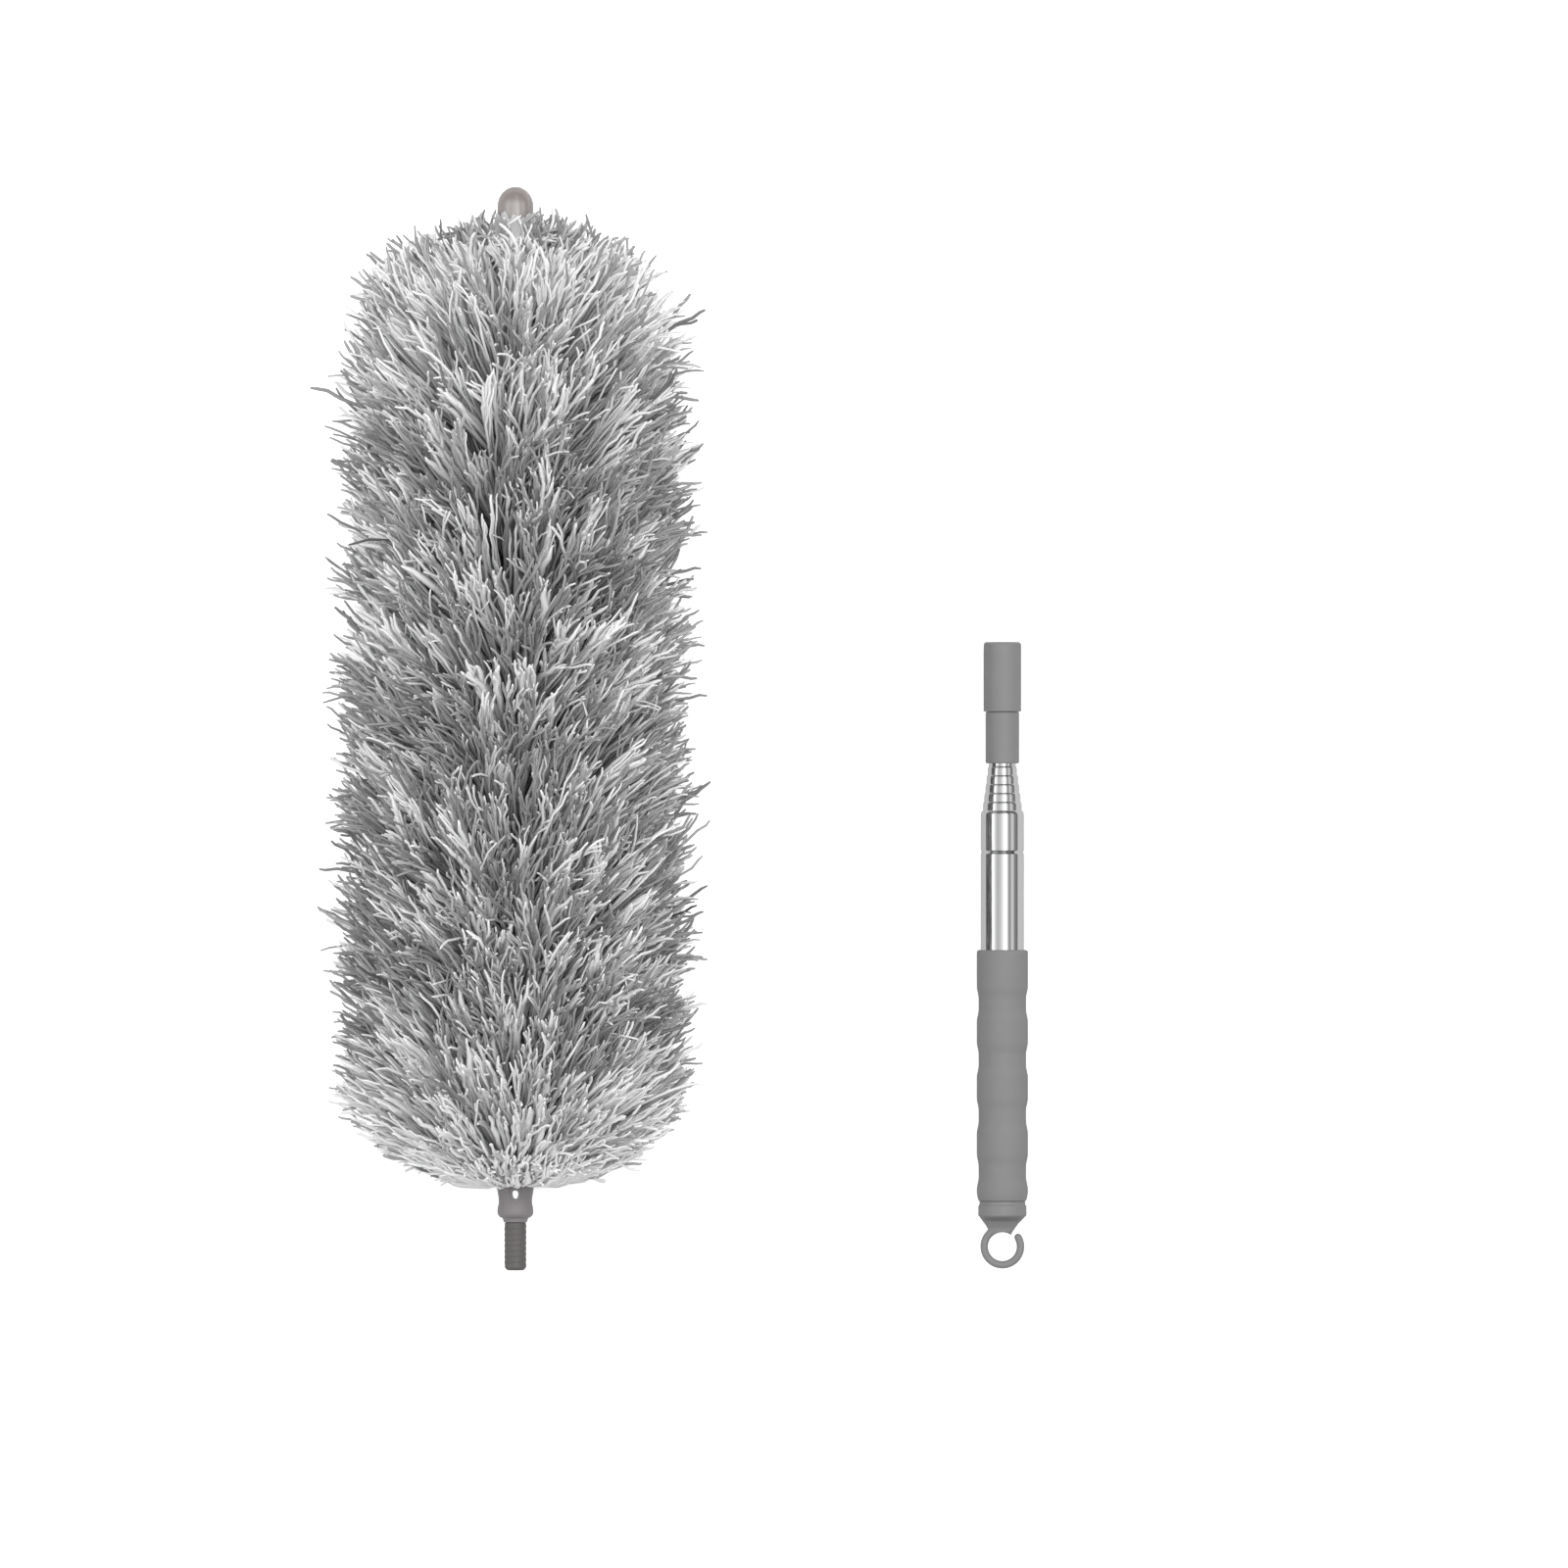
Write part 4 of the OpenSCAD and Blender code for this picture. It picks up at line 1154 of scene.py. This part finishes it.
class DUSTER_OT_adapter(bpy.types.Operator):
    """Turns the neck and the threaded socket at the top of the pole"""
    bl_idname = "duster.make_adapter"
    bl_label = "Adapter"

    def execute(self, context):
        settings = context.scene.duster_pole
        plastic = moulded_plastic("pole plastic", settings.plastic)
        low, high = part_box("adapter_neck")
        radius = half_width("adapter_neck")
        socket_low, socket_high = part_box("threaded_socket")
        tube_r = half_width(SECTIONS[-1]) + 0.05 * MM
        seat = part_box(SECTIONS[-1])[1].y + 0.05 * MM
        joint = radius - 1.6 * MM
        step = socket_low.y - 0.05 * MM
        neck = turned("adapter_neck_looks", POLE_AXIS, round_over([
            (0.4 * MM, seat), (tube_r, seat), (tube_r, low.y), (radius - 0.35 * MM, low.y),
            (radius, low.y + 0.5 * MM), (radius + 0.02 * MM, step - 0.8 * MM), (radius - 0.25 * MM, step),
            (joint, step), (joint, high.y), (0.4 * MM, high.y)], 0.3 * MM, 3), 96)
        dress(settle(neck), plastic)
        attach(neck, "section_6")
        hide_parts("adapter_neck")
        radius = half_width("threaded_socket")
        bore, floor = half_width("threaded_stud") + 0.1 * MM, socket_high.y - 24 * MM
        joint_top = high.y + 0.05 * MM
        body = turned("threaded_socket_looks", POLE_AXIS, round_over([
            (0.4 * MM, joint_top), (joint + 0.05 * MM, joint_top), (joint + 0.05 * MM, socket_low.y),
            (radius - 0.3 * MM, socket_low.y), (radius, socket_low.y + 0.35 * MM),
            (radius, socket_low.y + 1.1 * MM), (radius - 0.12 * MM, socket_low.y + 1.5 * MM),
            (radius - 0.05 * MM, socket_low.y + 2.4 * MM), (radius, socket_high.y - 0.9 * MM),
            (radius - 0.9 * MM, socket_high.y), (bore + 0.5 * MM, socket_high.y),
            (bore, socket_high.y - 0.5 * MM), (bore, floor), (0.4 * MM, floor)], 0.3 * MM, 3), 96)
        pitch, depth = context.scene.duster_head.thread_pitch, context.scene.duster_head.thread_depth
        ridge = [(bore + 0.3 * MM, -pitch * 0.30), (bore - depth * 0.8, -pitch * 0.1),
                 (bore - depth * 0.8, pitch * 0.1), (bore + 0.3 * MM, pitch * 0.30)]
        turns = (socket_high.y - floor - 2 * pitch) / pitch
        thread = helix("inner thread", POLE_AXIS, floor + pitch, turns, pitch, ridge, 32)
        piece = join(body, thread)
        dress(settle(piece), plastic)
        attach(piece, "section_6")
        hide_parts("threaded_socket")
        return {"FINISHED"}


class DUSTER_OT_sleeves(bpy.types.Operator):
    """Gives the friction sleeves inside the tubes their nylon"""
    bl_idname = "duster.finish_sleeves"
    bl_label = "Friction sleeves"

    def execute(self, context):
        for name, node in frame["nodes"].items():
            if name.startswith("friction_sleeve_"):
                dress(node, sleeve_nylon())
        return {"FINISHED"}


# ---------------------------------------------------------------- the stage

def area_lamp(name, spot, aim, size, power):
    """A square soft lamp at a spot, aimed at a point."""
    data = bpy.data.lights.new(name, "AREA")
    data.size, data.energy = size, power
    lamp = bpy.data.objects.new(name, data)
    bpy.context.scene.collection.objects.link(lamp)
    lamp.visible_glossy = False
    lamp.location = spot
    lamp.rotation_euler = (Vector(aim) - Vector(spot)).to_track_quat("-Z", "Y").to_euler()
    return lamp


def studio_world():
    """Even pale light for every ray but reflections, which see soft boxes on either side."""
    world = bpy.data.worlds.new("studio")
    bpy.context.scene.world = world
    world.use_nodes = True
    tree = world.node_tree
    links = tree.links
    background = tree.nodes["Background"]
    where = tree.nodes.new("ShaderNodeTexCoord")
    split = tree.nodes.new("ShaderNodeSeparateXYZ")
    links.new(where.outputs["Generated"], split.inputs[0])
    turn = tree.nodes.new("ShaderNodeMath")
    turn.operation = "ARCTAN2"
    links.new(split.outputs["X"], turn.inputs[0])
    links.new(split.outputs["Z"], turn.inputs[1])
    place = tree.nodes.new("ShaderNodeMapRange")
    place.inputs["From Min"].default_value = -math.pi
    place.inputs["From Max"].default_value = math.pi
    links.new(turn.outputs[0], place.inputs["Value"])
    boxes = tree.nodes.new("ShaderNodeValToRGB")
    stops = ((-90, 0.52), (-74, 0.56), (-63, 1.15), (-52, 1.45), (-43, 1.1), (-33, 0.66), (-22, 0.58),
             (-10, 0.74), (0, 1.0), (9, 1.4), (18, 1.75), (25, 1.2), (31, 0.6), (38, 0.3),
             (47, 0.55), (55, 0.85), (63, 0.5), (70, 0.28), (82, 0.2), (91, 0.24), (100, 0.5),
             (160, 0.5))
    ramp = boxes.color_ramp
    for k, (degrees, level) in enumerate(stops):
        spot = (degrees + 180) / 360
        stop = ramp.elements[k] if k < 2 else ramp.elements.new(spot)
        stop.position = spot
        stop.color = (level, level, level, 1)
    links.new(place.outputs["Result"], boxes.inputs["Fac"])
    ends = tree.nodes.new("ShaderNodeMath")
    ends.operation = "ABSOLUTE"
    links.new(split.outputs["Y"], ends.inputs[0])
    falloff = tree.nodes.new("ShaderNodeMapRange")
    for key, value in (("From Min", 0.2), ("From Max", 0.7), ("To Min", 1.0), ("To Max", 0.22)):
        falloff.inputs[key].default_value = value
    links.new(ends.outputs[0], falloff.inputs["Value"])
    dimmed = tree.nodes.new("ShaderNodeVectorMath")
    dimmed.operation = "SCALE"
    links.new(boxes.outputs["Color"], dimmed.inputs[0])
    links.new(falloff.outputs["Result"], dimmed.inputs["Scale"])
    path = tree.nodes.new("ShaderNodeLightPath")
    mix = tree.nodes.new("ShaderNodeMix")
    mix.data_type = "RGBA"
    mix.inputs["A"].default_value = (0.5, 0.5, 0.5, 1)
    links.new(dimmed.outputs["Vector"], mix.inputs["B"])
    links.new(path.outputs["Is Glossy Ray"], mix.inputs["Factor"])
    white = tree.nodes.new("ShaderNodeMix")
    white.data_type = "RGBA"
    white.inputs["B"].default_value = (1, 1, 1, 1)
    links.new(mix.outputs["Result"], white.inputs["A"])
    links.new(path.outputs["Is Camera Ray"], white.inputs["Factor"])
    links.new(white.outputs["Result"], background.inputs["Color"])
    background.inputs["Strength"].default_value = 1.0


def floor_material(settings):
    """A pale floor that the camera sees as white where no shadow falls."""
    material, tree, shader = new_material("floor", settings.floor, 0.9)
    path = tree.nodes.new("ShaderNodeLightPath")
    glow = tree.nodes.new("ShaderNodeMath")
    glow.operation = "MULTIPLY"
    glow.inputs[1].default_value = 0.5
    tree.links.new(path.outputs["Is Camera Ray"], glow.inputs[0])
    shader.inputs["Emission Color"].default_value = (1, 1, 1, 1)
    tree.links.new(glow.outputs[0], shader.inputs["Emission Strength"])
    mix = tree.nodes.new("ShaderNodeMix")
    mix.data_type = "RGBA"
    mix.inputs["A"].default_value = (*settings.floor, 1)
    mix.inputs["B"].default_value = (0.5, 0.5, 0.5, 1)
    tree.links.new(path.outputs["Is Glossy Ray"], mix.inputs["Factor"])
    tree.links.new(mix.outputs["Result"], shader.inputs["Base Color"])
    return material


class DUSTER_OT_stage(bpy.types.Operator):
    """Sets the floor, the lamps and the camera straight above"""
    bl_idname = "duster.make_stage"
    bl_label = "Stage"

    def execute(self, context):
        settings = context.scene.duster_stage
        context.scene.view_settings.view_transform = "Standard"
        bpy.ops.object.select_all(action="DESELECT")
        bpy.ops.mesh.primitive_plane_add(size=60, location=(0, 0, 0))
        floor = context.object
        floor.name = "stage_floor"
        dress(floor, floor_material(settings))
        studio_world()
        aim = (HEAD_AXIS.x + settings.right, 0, 0.05)
        area_lamp("lamp_left", (-1.1, 0.3, 1.7), aim, 1.4, 10)
        area_lamp("lamp_right", (1.4, 0.4, 1.5), aim, 1.4, 13)
        sun_data = bpy.data.lights.new("lamp_above", "SUN")
        sun_data.energy, sun_data.angle = 1.6, math.radians(50)
        sun = bpy.data.objects.new("lamp_above", sun_data)
        context.scene.collection.objects.link(sun)
        sun.visible_glossy = False
        sun.rotation_euler.x = math.radians(-13)
        camera_data = bpy.data.cameras.new("camera")
        camera = bpy.data.objects.new("camera", camera_data)
        context.scene.collection.objects.link(camera)
        camera.location = (HEAD_AXIS.x + settings.right, HEAD_FOOT + settings.up, settings.camera_height)
        camera_data.sensor_width = 36
        camera_data.lens = 36 * (settings.camera_height - HEAD_AXIS.z) / settings.picture
        context.scene.camera = camera
        return {"FINISHED"}


class DUSTER_PT_panel(bpy.types.Panel):
    """Lists the pieces and their settings"""
    bl_label = "Duster"
    bl_idname = "DUSTER_PT_panel"
    bl_space_type = "VIEW_3D"
    bl_region_type = "UI"
    bl_category = "Duster"

    def draw(self, context):
        for group in GROUPS:
            box = self.layout.box()
            settings = getattr(context.scene, group)
            for key in settings.__annotations__:
                box.prop(settings, key)
        for operator in OPERATORS:
            self.layout.operator(operator.bl_idname)


GROUPS = {"duster_yarn": DusterYarn, "duster_head": DusterHead, "duster_pole": DusterPole,
          "duster_stage": DusterStage}
OPERATORS = (DUSTER_OT_stage, DUSTER_OT_core_wire, DUSTER_OT_yarn, DUSTER_OT_stud, DUSTER_OT_ferrule,
             DUSTER_OT_cap, DUSTER_OT_grip, DUSTER_OT_end_cap, DUSTER_OT_tubes, DUSTER_OT_adapter,
             DUSTER_OT_sleeves)


def register():
    """Adds the classes and the settings."""
    for cls in (*GROUPS.values(), *OPERATORS, DUSTER_PT_panel):
        bpy.utils.register_class(cls)
    for name, cls in GROUPS.items():
        setattr(bpy.types.Scene, name, PointerProperty(type=cls))


def unregister():
    """Takes the settings and the classes away."""
    for name in GROUPS:
        delattr(bpy.types.Scene, name)
    for cls in reversed((*GROUPS.values(), *OPERATORS, DUSTER_PT_panel)):
        bpy.utils.unregister_class(cls)


def main():
    """Builds every piece and the stage."""
    register()
    for operator in OPERATORS:
        group, name = operator.bl_idname.split(".")
        getattr(getattr(bpy.ops, group), name)()


if __name__ == "__main__":
    main()
